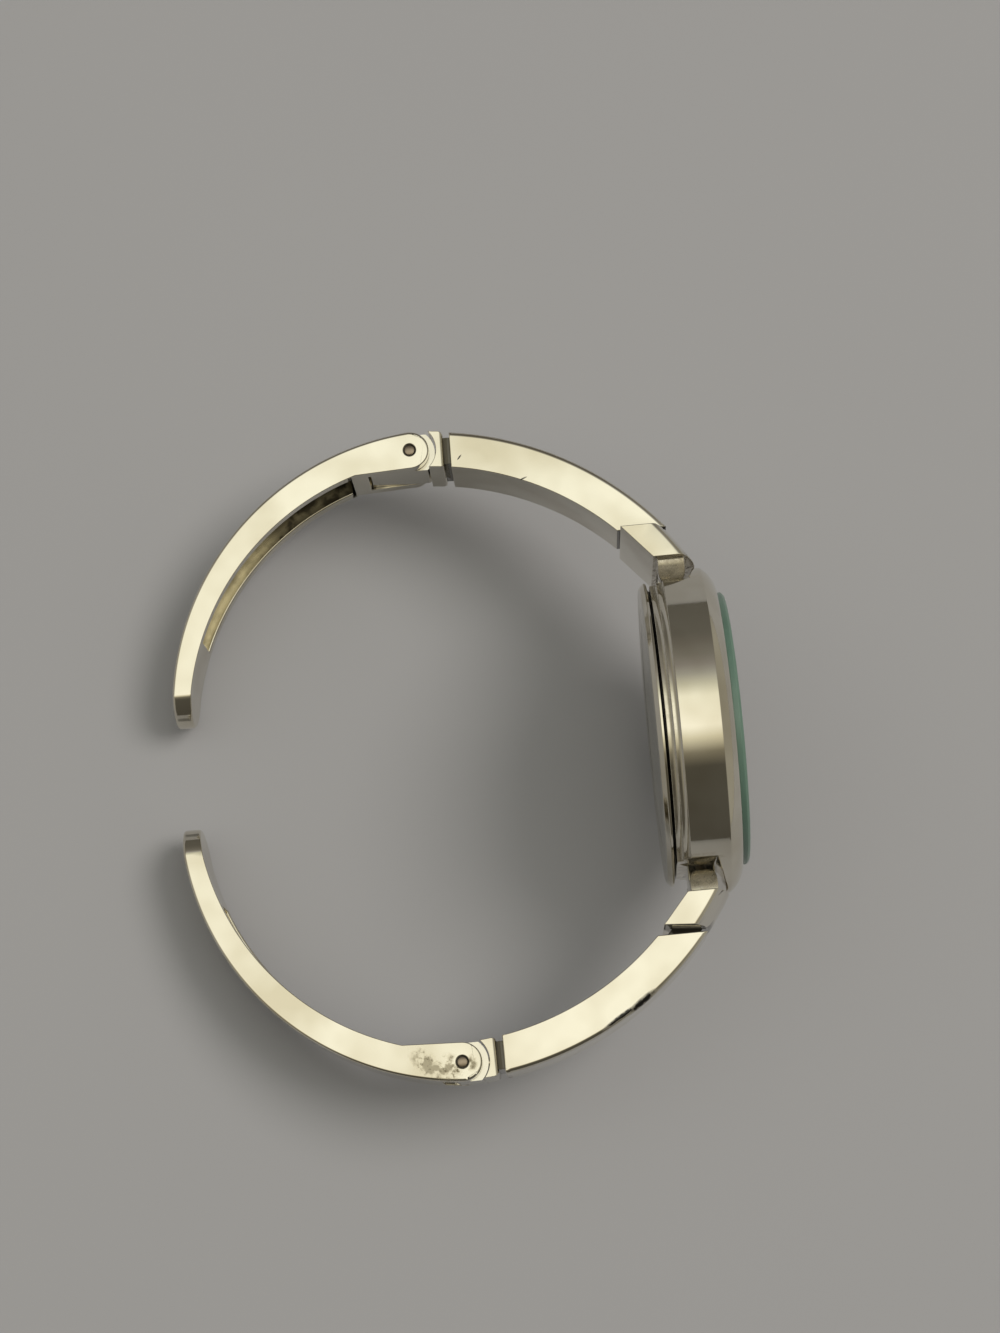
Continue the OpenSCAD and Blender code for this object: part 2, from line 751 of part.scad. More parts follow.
// Motion work and hands: teeth are drawn in the plane of the dial

module gear(teeth, x0, x1, phase = 0) {
    pitch_r = gear_module * teeth / 2;
    root_r = pitch_r - gear_module * dedendum;
    tip_r = pitch_r + gear_module * addendum;
    half_root = gear_module * tooth_root;
    half_tip = gear_module * tooth_tip;
    sunk_r = root_r - gear_module;
    translate([x0, 0, 0]) rotate([90, 0, 90]) linear_extrude(height = x1 - x0) union() {
        circle(r = root_r);
        for (i = [0 : teeth - 1]) rotate([0, 0, phase + i * 360 / teeth])
            polygon([[sunk_r, -half_root], [root_r, -half_root], [tip_r, -half_tip],
                     [tip_r, half_tip], [root_r, half_root], [sunk_r, half_root]]);
    }
}

// A hand drawn towards 12 o'clock and turned clockwise, as seen from the dial side
module hand(x, length, width, tail, hole_r, angle) {
    shoulder = length * hand_taper;
    tail_half = width * hand_tail_share;
    rotate([-angle, 0, 0]) difference() {
        union() {
            translate([x, 0, 0]) rotate([90, 0, 90]) linear_extrude(height = hand_t)
                polygon([[length, 0], [shoulder, width / 2], [-tail, tail_half],
                         [-tail, -tail_half], [shoulder, -width / 2]]);
            post(x, x + hand_t, 0, 0, hole_r + hand_boss);
        }
        post(x - cut, x + cut, 0, 0, hole_r);
    }
}

module hour_hand() {
    color(dark_steel) lay()
        hand(hour_x, hour_l, hour_w, hour_tail, hour_pipe_r, hour_angle);
}

module minute_hand() {
    color(dark_steel) lay()
        hand(minute_x, minute_l, minute_w, minute_tail, cannon_r, 12 * hour_angle);
}

module second_hand() {
    color(dark_steel) lay()
        hand(second_x, second_l, second_w, second_tail, arbor_r, second_angle);
}

module hour_wheel() {
    color(brass) lay() difference() {
        union() {
            gear(hour_teeth, gear_mid_x + gear_pass, gear_top_x);
            ring(gear_mid_x + gear_pass, hour_x + hand_t, hour_pipe_r);
        }
        post(recess_x, second_x, 0, 0, hour_in_r);
    }
}

module cannon_pinion() {
    color(brass) lay() difference() {
        union() {
            gear(cannon_teeth, gear_base_x, gear_mid_x);
            ring(gear_base_x, minute_x + hand_t, cannon_r);
        }
        post(recess_x, second_x, 0, 0, cannon_in_r);
    }
}

module minute_wheel() {
    color(brass) lay() translate([0, 0, gear_off]) difference() {
        union() {
            gear(minute_teeth, gear_base_x, gear_mid_x, 180 / minute_teeth);
            gear(pinion_teeth, gear_base_x, gear_top_x, 180 / pinion_teeth);
        }
        post(recess_x, plate_x, 0, 0, minute_post_r + run);
    }
}

module seconds_arbor() {
    color(dark_steel) lay() {
        ring(bridge_x - bridge_t, second_x + hand_t, arbor_r);
        ring(fourth_x - fourth_t, fourth_x, fourth_r, arbor_r / 2);
    }
}

// End link: crowned across its width, forked round the lug tab, with a tongue for the arc link

module end_outline() {
    polygon([
        [-end_back, end_start],
        [end_bound, end_start],
        [end_bound, seam_y + seam_rake],
        [arc_r * cos(asin(seam_y / arc_r)) - arc_cx, seam_y + seam_rake],
        [arc_in_r * cos(asin(seam_y / arc_in_r)) - arc_cx, seam_y]]);
}

module end_crown() {
    translate([-arc_cx, 0, 0]) rotate_extrude() intersection() {
        translate([arc_r - crown_across, 0]) circle(r = crown_across);
        translate([arc_r / 2, -end_w / 2]) square([arc_r / 2, end_w]);
    }
}

module barrel() {
    corner = barrel_w / 2 - barrel_round;
    base_y = end_start + pass_gap;
    intersection() {
        union() {
            pin(-lug_back, lug_y, barrel_r, barrel_w);
            translate([-lug_back - barrel_r, lug_y, -barrel_w / 2])
                cube([2 * barrel_r, base_y - lug_y, barrel_w]);
        }
        union() {
            for (s = [-1, 1]) translate([0, base_y, s * corner]) rotate([0, 90, 0])
                cylinder(h = 2 * arc_r, r = barrel_round, center = true);
            translate([-arc_r, base_y - barrel_round, -corner]) cube([2 * arc_r, 2 * barrel_round,
                                                                     2 * corner]);
        }
    }
}

module tongue(reach_in) {
    intersection() {
        translate([-arc_cx, 0, -tongue_w / 2]) linear_extrude(height = tongue_w) difference() {
            circle(r = arc_mid_r + tongue_r);
            circle(r = arc_mid_r - tongue_r);
            rotate([0, 0, tongue_angle]) translate([-arc_r, 0]) square([2 * arc_r, arc_r]);
            translate([-arc_r, -arc_r]) square([2 * arc_r, arc_r + reach_in]);
        }
        translate([-arc_cx, 0, -tongue_w / 2]) cube([arc_r, arc_r, tongue_w]);
    }
    pin(tongue_x, tongue_y, tongue_r, tongue_w);
}

module end_link(six) {
    color(steel) lay() at_side(six) difference() {
        union() {
            intersection() {
                end_crown();
                translate([0, 0, -end_w / 2]) linear_extrude(height = end_w) end_outline();
            }
            barrel();
            tongue(seam_y - cut / 2);
        }
        pin(-lug_back, lug_y, barrel_r + pass_gap, lug_w + 2 * side);
        translate([-lug_back - barrel_r - pass_gap, notch_floor, -lug_w / 2 - side])
            cube([2 * (barrel_r + pass_gap), lug_y - notch_floor, lug_w + 2 * side]);
        translate([-lug_back, lug_y, -end_w])
            cylinder(h = end_w + barrel_w / 2 - lug_pin_in, r = lug_pin_r);
        pin(tongue_x, tongue_y, tongue_pin_r + run, tongue_w + cut);
    }
}

module lug_pin(six) {
    color(dark_steel) lay() at_side(six) pin(-lug_back, lug_y, lug_pin_r, barrel_w - 2 * lug_pin_in);
}

// Arc link, with its tongue slot at the seam and its spring channel at the hinge

module strip_section(r_in, r_out, width) {
    half = width / 2;
    union() {
        translate([r_in, -half]) square([r_out - edge_round - r_in, width]);
        translate([r_in, edge_round - half]) square([r_out - r_in, width - 2 * edge_round]);
        for (s = [-1, 1]) translate([r_out - edge_round, s * (half - edge_round)])
            circle(r = edge_round);
    }
}

// The hinge frame: x runs along the bracelet towards the watch, y outwards
module at_hinge() {
    translate([hinge_x, hinge_y, 0]) rotate([0, 0, hinge_angle - 90]) children();
}

// The channel frame: z runs from the arc link's end face into the link
module at_channel() {
    at_hinge() translate([arc_end, -channel_inset, 0]) rotate([0, 90, -channel_slope]) children();
}

module arc_link(six) {
    color(steel) lay() at_side(six) difference() {
        translate([-arc_cx, 0, 0]) rotate_extrude() strip_section(arc_in_r, arc_r, arc_w);
        translate([-2 * arc_r - arc_cx, -2 * arc_r, -arc_w])
            cube([4 * arc_r, 2 * arc_r + seam_y + seam_gap, 2 * arc_w]);
        at_hinge() translate([arc_end - 4 * arc_r, -3 * arc_r, -arc_w])
            cube([4 * arc_r, 6 * arc_r, 2 * arc_w]);
        at_channel() translate([0, 0, -cut]) cylinder(h = channel_l + cut, r = channel_r);
        tongue_slot();
        translate([tongue_x, tongue_y, -arc_w])
            cylinder(h = arc_w + arc_w / 2 - blind, r = tongue_pin_r);
    }
}

module tongue_slot() {
    slot_r = tongue_r + tongue_play;
    slot_w = tongue_w + 2 * side;
    pin(tongue_x, tongue_y, slot_r, slot_w);
    translate([-arc_cx, 0, -slot_w / 2]) intersection() {
        linear_extrude(height = slot_w) difference() {
            circle(r = arc_mid_r + slot_r);
            circle(r = arc_mid_r - slot_r);
            rotate([0, 0, tongue_angle]) translate([-arc_r, 0]) square([2 * arc_r, arc_r]);
        }
        cube([arc_r, arc_r, slot_w]);
    }
}

module tongue_pin(six) {
    color(dark_steel) lay() at_side(six) translate([tongue_x, tongue_y, -arc_w / 2])
        cylinder(h = arc_w - blind, r = tongue_pin_r);
}

// Sprung hinge: collar on the arc link, slider with its nose, spring and nut

module hinge_collar(six) {
    neck_start = collar_end - edge_round;
    color(steel) lay() at_side(six) difference() {
        union() {
            at_hinge() translate([0, -arc_mid_r, 0]) intersection() {
                rotate_extrude() strip_section(arc_mid_r - arc_t / 2, arc_r, arc_w);
                translate([0, 0, -arc_w / 2]) cube([collar_end, arc_r, arc_w]);
            }
            at_hinge() translate([neck_start, neck_inset - arc_t / 2 - channel_inset,
                                  neck_inset - arc_w / 2])
                cube([arc_end - neck_start, arc_t - 2 * neck_inset, arc_w - 2 * neck_inset]);
            at_channel() cylinder(h = plug_l, r = channel_r);
        }
        at_hinge() cylinder(h = 2 * arc_w, r = nose_r + nose_gap, center = true);
        at_channel() translate([0, 0, -arc_end]) cylinder(h = 2 * arc_end, r = slider_stem_r + run);
    }
}

module hinge_slider(six) {
    nose_w = fork_w - 2 * side;
    color(steel) lay() at_side(six) difference() {
        union() {
            at_hinge() intersection() {
                union() {
                    cylinder(h = nose_w, r = ear_r, center = true);
                    intersection() {
                        cylinder(h = nose_w, r = nose_r, center = true);
                        translate([0, -nose_r, -nose_w / 2]) cube([nose_r, 2 * nose_r, nose_w]);
                    }
                }
                cube([2 * nose_r, arc_t, nose_w], center = true);
            }
            at_hinge() translate([fork_gap - fork_d, -arc_t / 2, -nose_w / 2])
                cube([fork_d - fork_gap, arc_t / 2 - pass_gap, nose_w]);
            at_channel() translate([0, 0, -arc_end + nose_r / 2])
                cylinder(h = arc_end - nose_r / 2 + nut_start + nut_l, r = slider_stem_r);
        }
        at_hinge() cylinder(h = 2 * arc_w, r = hinge_pin_r + run, center = true);
    }
}

module slider_spring(six) {
    color(dark_steel) lay() at_side(six) at_channel() translate([0, 0, spring_start])
        difference() {
            cylinder(h = spring_l, r = channel_r - run);
            translate([0, 0, -cut]) cylinder(h = spring_l + 2 * cut, r = slider_stem_r + run);
        }
}

module slider_nut(six) {
    color(dark_steel) lay() at_side(six) at_channel() translate([0, 0, nut_start]) difference() {
        cylinder(h = nut_l, r = channel_r - run);
        translate([0, 0, -cut]) cylinder(h = nut_l + 2 * cut, r = slider_stem_r);
    }
}

module hinge_pin(six) {
    color(dark_steel) lay() at_side(six) at_hinge()
        cylinder(h = hinge_pin_l, r = hinge_pin_r, center = true);
}

// Cuff arm: tapering bow with a forked root, a half-round tip and a hollow back

module arm_outline_from_front() {
    root_y = hinge_y + ear_r + cut;
    half = arm_tip_w / 2 - tip_start * (arc_w - arm_tip_w) / 2 / (root_y - tip_start);
    intersection() {
        polygon([[0, -half], [root_y, -arc_w / 2], [root_y, arc_w / 2], [0, half]]);
        translate([tip_y + tip_round, 0]) union() {
            circle(r = tip_round);
            translate([0, -arc_w]) square([arm_r, 2 * arc_w]);
        }
    }
}

module arm_bow() {
    difference() {
        translate([-arm_cx, arm_cy, 0]) rotate_extrude()
            strip_section(arm_in_r - arm_root_t, arm_r, arc_w);
        pin(-arm_cx, arm_in_cy, arm_in_r, 2 * arc_w);
        translate([-4 * arm_r, -4 * arm_r, -arc_w])
            cube([8 * arm_r, 4 * arm_r + tip_y, 2 * arc_w]);
        translate([hinge_x, -arm_r, -arc_w]) cube([4 * arm_r, 4 * arm_r, 2 * arc_w]);
    }
}

module arm_flare() {
    translate([0, 0, -arc_w / 2]) linear_extrude(height = arc_w)
        polygon([[hinge_x, hinge_y],
                 [flare_x + flare_sink * sin(flare_turn), flare_y - flare_sink * cos(flare_turn)],
                 [hinge_x + flare_ear_r * cos(flare_turn), hinge_y + flare_ear_r * sin(flare_turn)]]);
}

module arm_pocket() {
    span = pocket_to - pocket_from;
    translate([-arm_cx, arm_cy, -pocket_w / 2]) linear_extrude(height = pocket_w)
        intersection() {
            circle(r = arm_r - pocket_wall);
            polygon([[0, 0],
                     [2 * arm_r * cos(pocket_from), 2 * arm_r * sin(pocket_from)],
                     [2 * arm_r * cos(pocket_from + span / 2), 2 * arm_r * sin(pocket_from + span / 2)],
                     [2 * arm_r * cos(pocket_to), 2 * arm_r * sin(pocket_to)]]);
        }
}

module cuff_arm(six) {
    color(steel) lay() at_side(six) difference() {
        intersection() {
            union() {
                arm_bow();
                arm_flare();
                at_hinge() cylinder(h = arc_w, r = ear_r, center = true);
            }
            rotate([90, 0, -90]) linear_extrude(height = 4 * arm_r) mirror([1, 0])
                arm_outline_from_front();
        }
        arm_pocket();
        at_hinge() translate([-fork_d, -2 * ear_r, -fork_w / 2]) cube([fork_d, 2 * ear_r, fork_w]);
        at_hinge() translate([-ear_r - fork_gap, -2 * ear_r, -fork_w / 2])
            cube([ear_r + fork_gap + nose_r, 4 * ear_r, fork_w]);
        at_hinge() cylinder(h = 2 * arc_w, r = hinge_pin_r, center = true);
        at_hinge() for (end = [0, 1]) mirror([0, 0, end])
            translate([0, 0, arc_w / 2 - pin_recess_d]) cylinder(h = arc_w, r = pin_recess_r);
    }
}

case_body();
case_back();
case_back_gasket();
crystal();
crystal_gasket();
flange_ring();
dial();
hour_markers();
movement_holder();
main_plate();
train_bridge();
motor_coil();
motor_stator();
circuit_board();
button_cell();
cell_clamp();
crown_tube();
crown();
crown_stem();
crown_seal();
setting_sleeve();
hour_hand();
hour_wheel();
minute_hand();
cannon_pinion();
minute_wheel();
second_hand();
seconds_arbor();
lug_pin(false);  // twelve_lug_pin
end_link(false);  // twelve_end_link
tongue_pin(false);  // twelve_tongue_pin
arc_link(false);  // twelve_arc_link
hinge_collar(false);  // twelve_hinge_collar
hinge_slider(false);  // twelve_hinge_slider
slider_spring(false);  // twelve_slider_spring
slider_nut(false);  // twelve_slider_nut
hinge_pin(false);  // twelve_hinge_pin
cuff_arm(false);  // twelve_cuff_arm
lug_pin(true);  // six_lug_pin
end_link(true);  // six_end_link
tongue_pin(true);  // six_tongue_pin
arc_link(true);  // six_arc_link
hinge_collar(true);  // six_hinge_collar
hinge_slider(true);  // six_hinge_slider
slider_spring(true);  // six_slider_spring
slider_nut(true);  // six_slider_nut
hinge_pin(true);  // six_hinge_pin
cuff_arm(true);  // six_cuff_arm
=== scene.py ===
"""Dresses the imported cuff-bracelet watch: meshes, finishes, light, floor and camera.

Shapes are made in bracelet millimetres (X out through the dial, Y towards 12 o'clock,
Z towards 9 o'clock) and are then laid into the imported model's own frame, in metres.
"""

from __future__ import annotations

import json
import logging
import math
from collections.abc import Callable, Iterable, Sequence
from dataclasses import dataclass, field
from enum import Enum

import bmesh
import bpy
from mathutils import Matrix, Vector

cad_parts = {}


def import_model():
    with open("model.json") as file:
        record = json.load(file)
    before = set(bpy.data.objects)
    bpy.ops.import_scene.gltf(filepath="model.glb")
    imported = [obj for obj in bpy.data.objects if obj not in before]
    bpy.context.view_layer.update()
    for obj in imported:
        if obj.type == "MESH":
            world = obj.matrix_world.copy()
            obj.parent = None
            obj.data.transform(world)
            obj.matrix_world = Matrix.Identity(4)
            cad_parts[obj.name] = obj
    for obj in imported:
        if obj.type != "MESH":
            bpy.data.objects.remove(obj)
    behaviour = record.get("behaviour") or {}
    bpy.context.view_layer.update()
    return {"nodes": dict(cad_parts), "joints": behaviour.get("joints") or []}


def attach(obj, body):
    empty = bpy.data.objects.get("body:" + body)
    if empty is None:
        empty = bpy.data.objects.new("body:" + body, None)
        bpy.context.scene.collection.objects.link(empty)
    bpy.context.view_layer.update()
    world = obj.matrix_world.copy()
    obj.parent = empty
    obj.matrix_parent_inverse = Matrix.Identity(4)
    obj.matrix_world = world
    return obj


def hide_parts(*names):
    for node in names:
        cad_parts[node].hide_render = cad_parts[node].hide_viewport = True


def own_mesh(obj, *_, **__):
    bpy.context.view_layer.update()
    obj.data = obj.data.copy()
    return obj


log = logging.getLogger("cuff_watch")
Point = tuple[float, float]
Socket = bpy.types.NodeSocket
MM = 0.001


class Cut(Enum):
    """How one closed mesh changes another."""

    TAKE_AWAY = "DIFFERENCE"
    ADD = "UNION"
    KEEP_COMMON = "INTERSECT"


class Side(Enum):
    """The two halves of the bracelet, with the sign of Y on each."""

    TWELVE = 1
    SIX = -1

    def node(self, piece: str) -> str:
        """Name of a piece on this side."""
        return f"{self.name.lower()}_{piece}"

    def mirrored(self) -> Matrix:
        """Matrix from the 12 o'clock side to this side."""
        return Matrix.Diagonal((1, self.value, 1, 1))


# Node and colour helpers


def srgb(code: str, alpha: float = 1.0) -> tuple[float, float, float, float]:
    """Turns an sRGB hex colour to linear values.

    Args:
        code: Colour as "#rrggbb".
        alpha: Fourth value of the result.

    Returns:
        Linear red, green and blue, and alpha.
    """
    parts = [int(code[i : i + 2], 16) / 255 for i in (1, 3, 5)]
    low = [c / 12.92 if c <= 0.04045 else ((c + 0.055) / 1.055) ** 2.4 for c in parts]
    return low[0], low[1], low[2], alpha


def add_node(
    tree: bpy.types.NodeTree, kind: str, inputs: dict[object, object] | None = None, **settings: object
) -> bpy.types.Node:
    """Adds a node, sets its properties, and fills or links its inputs.

    Args:
        tree: Tree that gets the node.
        kind: Blender's name of the node type.
        inputs: Socket name or number to a value or to an output socket.
        **settings: Properties of the node itself.

    Returns:
        The new node.
    """
    node = tree.nodes.new(kind)
    for key, value in settings.items():
        setattr(node, key, value)
    for key, value in (inputs or {}).items():
        if isinstance(value, Socket):
            tree.links.new(value, node.inputs[key])
        else:
            node.inputs[key].default_value = value
    return node


# Shapes


@dataclass(frozen=True)
class Lay:
    """Place of the bracelet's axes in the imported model, read from its minute joint."""

    matrix: Matrix

    @classmethod
    def from_joints(cls, joints: Sequence[dict]) -> Lay:
        """Reads the watch's axis and centre.

        Args:
            joints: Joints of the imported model.

        Returns:
            The place, as a matrix from bracelet millimetres to metres.
        """
        dial = next(j for j in joints if j["name"] == "minute_turn")
        x_axis = -Vector(dial["axis"]).normalized()
        y_axis = Vector((0, 1, 0))
        turn = Matrix((x_axis, y_axis, x_axis.cross(y_axis))).transposed().to_4x4()
        return cls(Matrix.Translation(dial["pos_m"]) @ turn @ Matrix.Scale(MM, 4))

    def point(self, x: float, y: float, z: float) -> Vector:
        """A point of the bracelet, in metres."""
        return self.matrix @ Vector((x, y, z))

    def direction(self, x: float, y: float, z: float) -> Vector:
        """A direction of the bracelet, as a unit vector."""
        return (self.matrix.to_3x3() @ Vector((x, y, z))).normalized()


class Solid:
    """A closed mesh in bracelet millimetres that can be cut, joined and rounded."""

    def __init__(self, name: str, bm: bmesh.types.BMesh) -> None:
        """Makes the object from a bmesh, which is used up.

        Args:
            name: Name of the piece.
            bm: Its faces.
        """
        bmesh.ops.recalc_face_normals(bm, faces=bm.faces)
        mesh = bpy.data.meshes.new(name)
        bm.to_mesh(mesh)
        bm.free()
        self.obj = bpy.data.objects.new(name, mesh)
        bpy.context.collection.objects.link(self.obj)

    @classmethod
    def lofted(cls, name: str, rings: Sequence[Sequence[Vector]], closed: bool = False) -> Solid:
        """Joins rings of points into a skin.

        Args:
            name: Name of the piece.
            rings: Rings with the same number of points each.
            closed: True if the last ring meets the first, False to cap both ends.

        Returns:
            The solid.
        """
        bm = bmesh.new()
        grid = [[bm.verts.new(p) for p in ring] for ring in rings]
        count = len(grid[0])
        for i in range(len(grid) if closed else len(grid) - 1):
            here, there = grid[i], grid[(i + 1) % len(grid)]
            for k in range(count):
                bm.faces.new((here[k], here[(k + 1) % count], there[(k + 1) % count], there[k]))
        if not closed:
            bm.faces.new(grid[0])
            bm.faces.new(reversed(grid[-1]))
        return cls(name, bm)

    @classmethod
    def turned(cls, name: str, outline: Sequence[Point], segments: int = 256) -> Solid:
        """Turns an outline of (radius, x) points round the X axis.

        Args:
            name: Name of the piece.
            outline: The outline; it is a closed ring, or runs from axis to axis.
            segments: Steps of a full turn.

        Returns:
            The solid.
        """
        bm = bmesh.new()
        rows: list[list[bmesh.types.BMVert]] = []
        for r, x in outline:
            steps = 1 if r == 0 else segments
            turns = [2 * math.pi * i / segments for i in range(steps)]
            rows.append([bm.verts.new((x, r * math.cos(a), r * math.sin(a))) for a in turns])
        on_axis = outline[0][0] == 0
        for n in range(len(rows) - 1 if on_axis else len(rows)):
            one, two = rows[n], rows[(n + 1) % len(rows)]
            for i in range(segments):
                j = (i + 1) % segments
                ring = [one[i % len(one)], one[j % len(one)], two[j % len(two)], two[i % len(two)]]
                face = list(dict.fromkeys(ring))
                if len(face) > 2:
                    bm.faces.new(face)
        return cls(name, bm)

    @classmethod
    def prism(cls, name: str, outline: Sequence[Point], low: float, high: float) -> Solid:
        """Raises an (x, y) outline from one Z to another."""
        return cls.lofted(name, [[Vector((x, y, z)) for x, y in outline] for z in (low, high)])

    @classmethod
    def rod(cls, name: str, centre: Point, r: float, low: float, high: float, segments: int = 96) -> Solid:
        """A cylinder along Z.

        Args:
            name: Name of the piece.
            centre: X and Y of its axis.
            r: Radius.
            low: Its lower end.
            high: Its upper end.
            segments: Steps round it.

        Returns:
            The solid.
        """
        turns = [2 * math.pi * i / segments for i in range(segments)]
        outline = [(centre[0] + r * math.cos(a), centre[1] + r * math.sin(a)) for a in turns]
        return cls.prism(name, outline, low, high)

    @classmethod
    def block(cls, name: str, low: Sequence[float], high: Sequence[float]) -> Solid:
        """A box between two corners."""
        (x0, y0, z0), (x1, y1, z1) = low, high
        return cls.prism(name, [(x0, y0), (x1, y0), (x1, y1), (x0, y1)], z0, z1)

    def moved(self, matrix: Matrix) -> Solid:
        """Moves the mesh itself; a mirror keeps its faces outwards.

        Args:
            matrix: Where the mesh goes.

        Returns:
            This solid.
        """
        self.obj.data.transform(matrix)
        if matrix.determinant() < 0:
            self.obj.data.flip_normals()
        return self

    def bake(self) -> Solid:
        """Turns the object with its modifiers into a plain mesh.

        Returns:
            This solid.
        """
        bpy.context.view_layer.update()
        old = self.obj.data
        graph = bpy.context.evaluated_depsgraph_get()
        new = bpy.data.meshes.new_from_object(self.obj.evaluated_get(graph))
        self.obj.modifiers.clear()
        self.obj.data = new
        new.name = self.obj.name
        bpy.data.meshes.remove(old)
        return self

    def combine(self, how: Cut, *others: Solid) -> Solid:
        """Cuts, joins or intersects with other solids, which are used up.

        Args:
            how: What the others do to this one.
            *others: The tools.

        Returns:
            This solid.
        """
        for other in others:
            change = self.obj.modifiers.new("cut", "BOOLEAN")
            change.operation = how.value
            change.solver = "EXACT"
            change.object = other.obj
            self.bake()
            mesh = other.obj.data
            bpy.data.objects.remove(other.obj)
            bpy.data.meshes.remove(mesh)
        return self

    def soften(
        self,
        fine: float = 0.06,
        width_at: Callable[[Vector, Vector], float] | None = None,
        angle: float = 26,
    ) -> Solid:
        """Rounds the outer edges, as polishing does, with smooth shading over them.

        Args:
            fine: Width of the rounding at a crisp edge.
            width_at: Width from an edge's two ends, or 0 where the fine one holds.
            angle: Degrees past which an edge counts as crisp.

        Returns:
            This solid.
        """
        bm = bmesh.new()
        bm.from_mesh(self.obj.data)
        bmesh.ops.remove_doubles(bm, verts=bm.verts, dist=0.004)
        bmesh.ops.dissolve_degenerate(bm, dist=0.002, edges=bm.edges)
        weights = bm.edges.layers.float.new("bevel_weight_edge")
        widths: dict[bmesh.types.BMEdge, float] = {}
        for edge in bm.edges:
            crisp = len(edge.link_faces) == 2 and edge.calc_face_angle(0) >= math.radians(angle)
            if crisp and edge.is_convex:
                wide = width_at(edge.verts[0].co, edge.verts[1].co) if width_at else 0.0
                widths[edge] = wide or fine
        widest = max(widths.values())
        for edge, width in widths.items():
            edge[weights] = width / widest
        for face in bm.faces:
            face.smooth = True
        bm.to_mesh(self.obj.data)
        bm.free()
        bevel = self.obj.modifiers.new("rounding", "BEVEL")
        bevel.limit_method = "WEIGHT"
        bevel.width = widest
        bevel.segments = 3
        bevel.use_clamp_overlap = False
        bevel.harden_normals = True
        return self.bake()

    def paint(self, name: str, value_at: Callable[[Vector], float]) -> Solid:
        """Stores a number at each vertex for the finish to read.

        Args:
            name: Name of the attribute.
            value_at: The number at a point, in bracelet millimetres.

        Returns:
            This solid.
        """
        layer = self.obj.data.attributes.new(name, "FLOAT", "POINT")
        layer.data.foreach_set("value", [value_at(v.co) for v in self.obj.data.vertices])
        return self

    def dress(
        self,
        lay: Lay,
        materials: Iterable[bpy.types.Material],
        body: str,
        nodes: Sequence[str],
        slot: str,
        pick: Callable[[Vector, Vector], int] | None = None,
    ) -> bpy.types.Object:
        """Lays the solid in place, gives it its finish and hangs it on its body.

        Args:
            lay: Place of the bracelet's axes.
            materials: Its materials in order.
            body: Body that it rides on.
            nodes: CAD nodes that it stands for.
            slot: Material slot of the record; it is not used.
            pick: Material number from a face's centre and normal, in bracelet millimetres.

        Returns:
            The finished object.
        """
        mesh = self.obj.data
        mesh.materials.clear()
        for material in materials:
            mesh.materials.append(material)
        for face in mesh.polygons:
            face.material_index = pick(face.center, face.normal) if pick else 0
        self.moved(lay.matrix)
        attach(self.obj, body)
        if nodes:
            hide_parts(*nodes)
        log.info("%s: %d faces on %s", self.obj.name, len(mesh.polygons), body)
        return self.obj


def arc_points(centre: Point, r: float, start: float, end: float, steps: int) -> list[Point]:
    """Points on an arc, both ends included.

    Args:
        centre: Centre of the arc.
        r: Its radius.
        start: First angle in degrees.
        end: Last angle in degrees.
        steps: Number of steps.

    Returns:
        The points in order.
    """
    turns = [math.radians(start + (end - start) * i / steps) for i in range(steps + 1)]
    return [(centre[0] + r * math.cos(a), centre[1] + r * math.sin(a)) for a in turns]


# Finishes


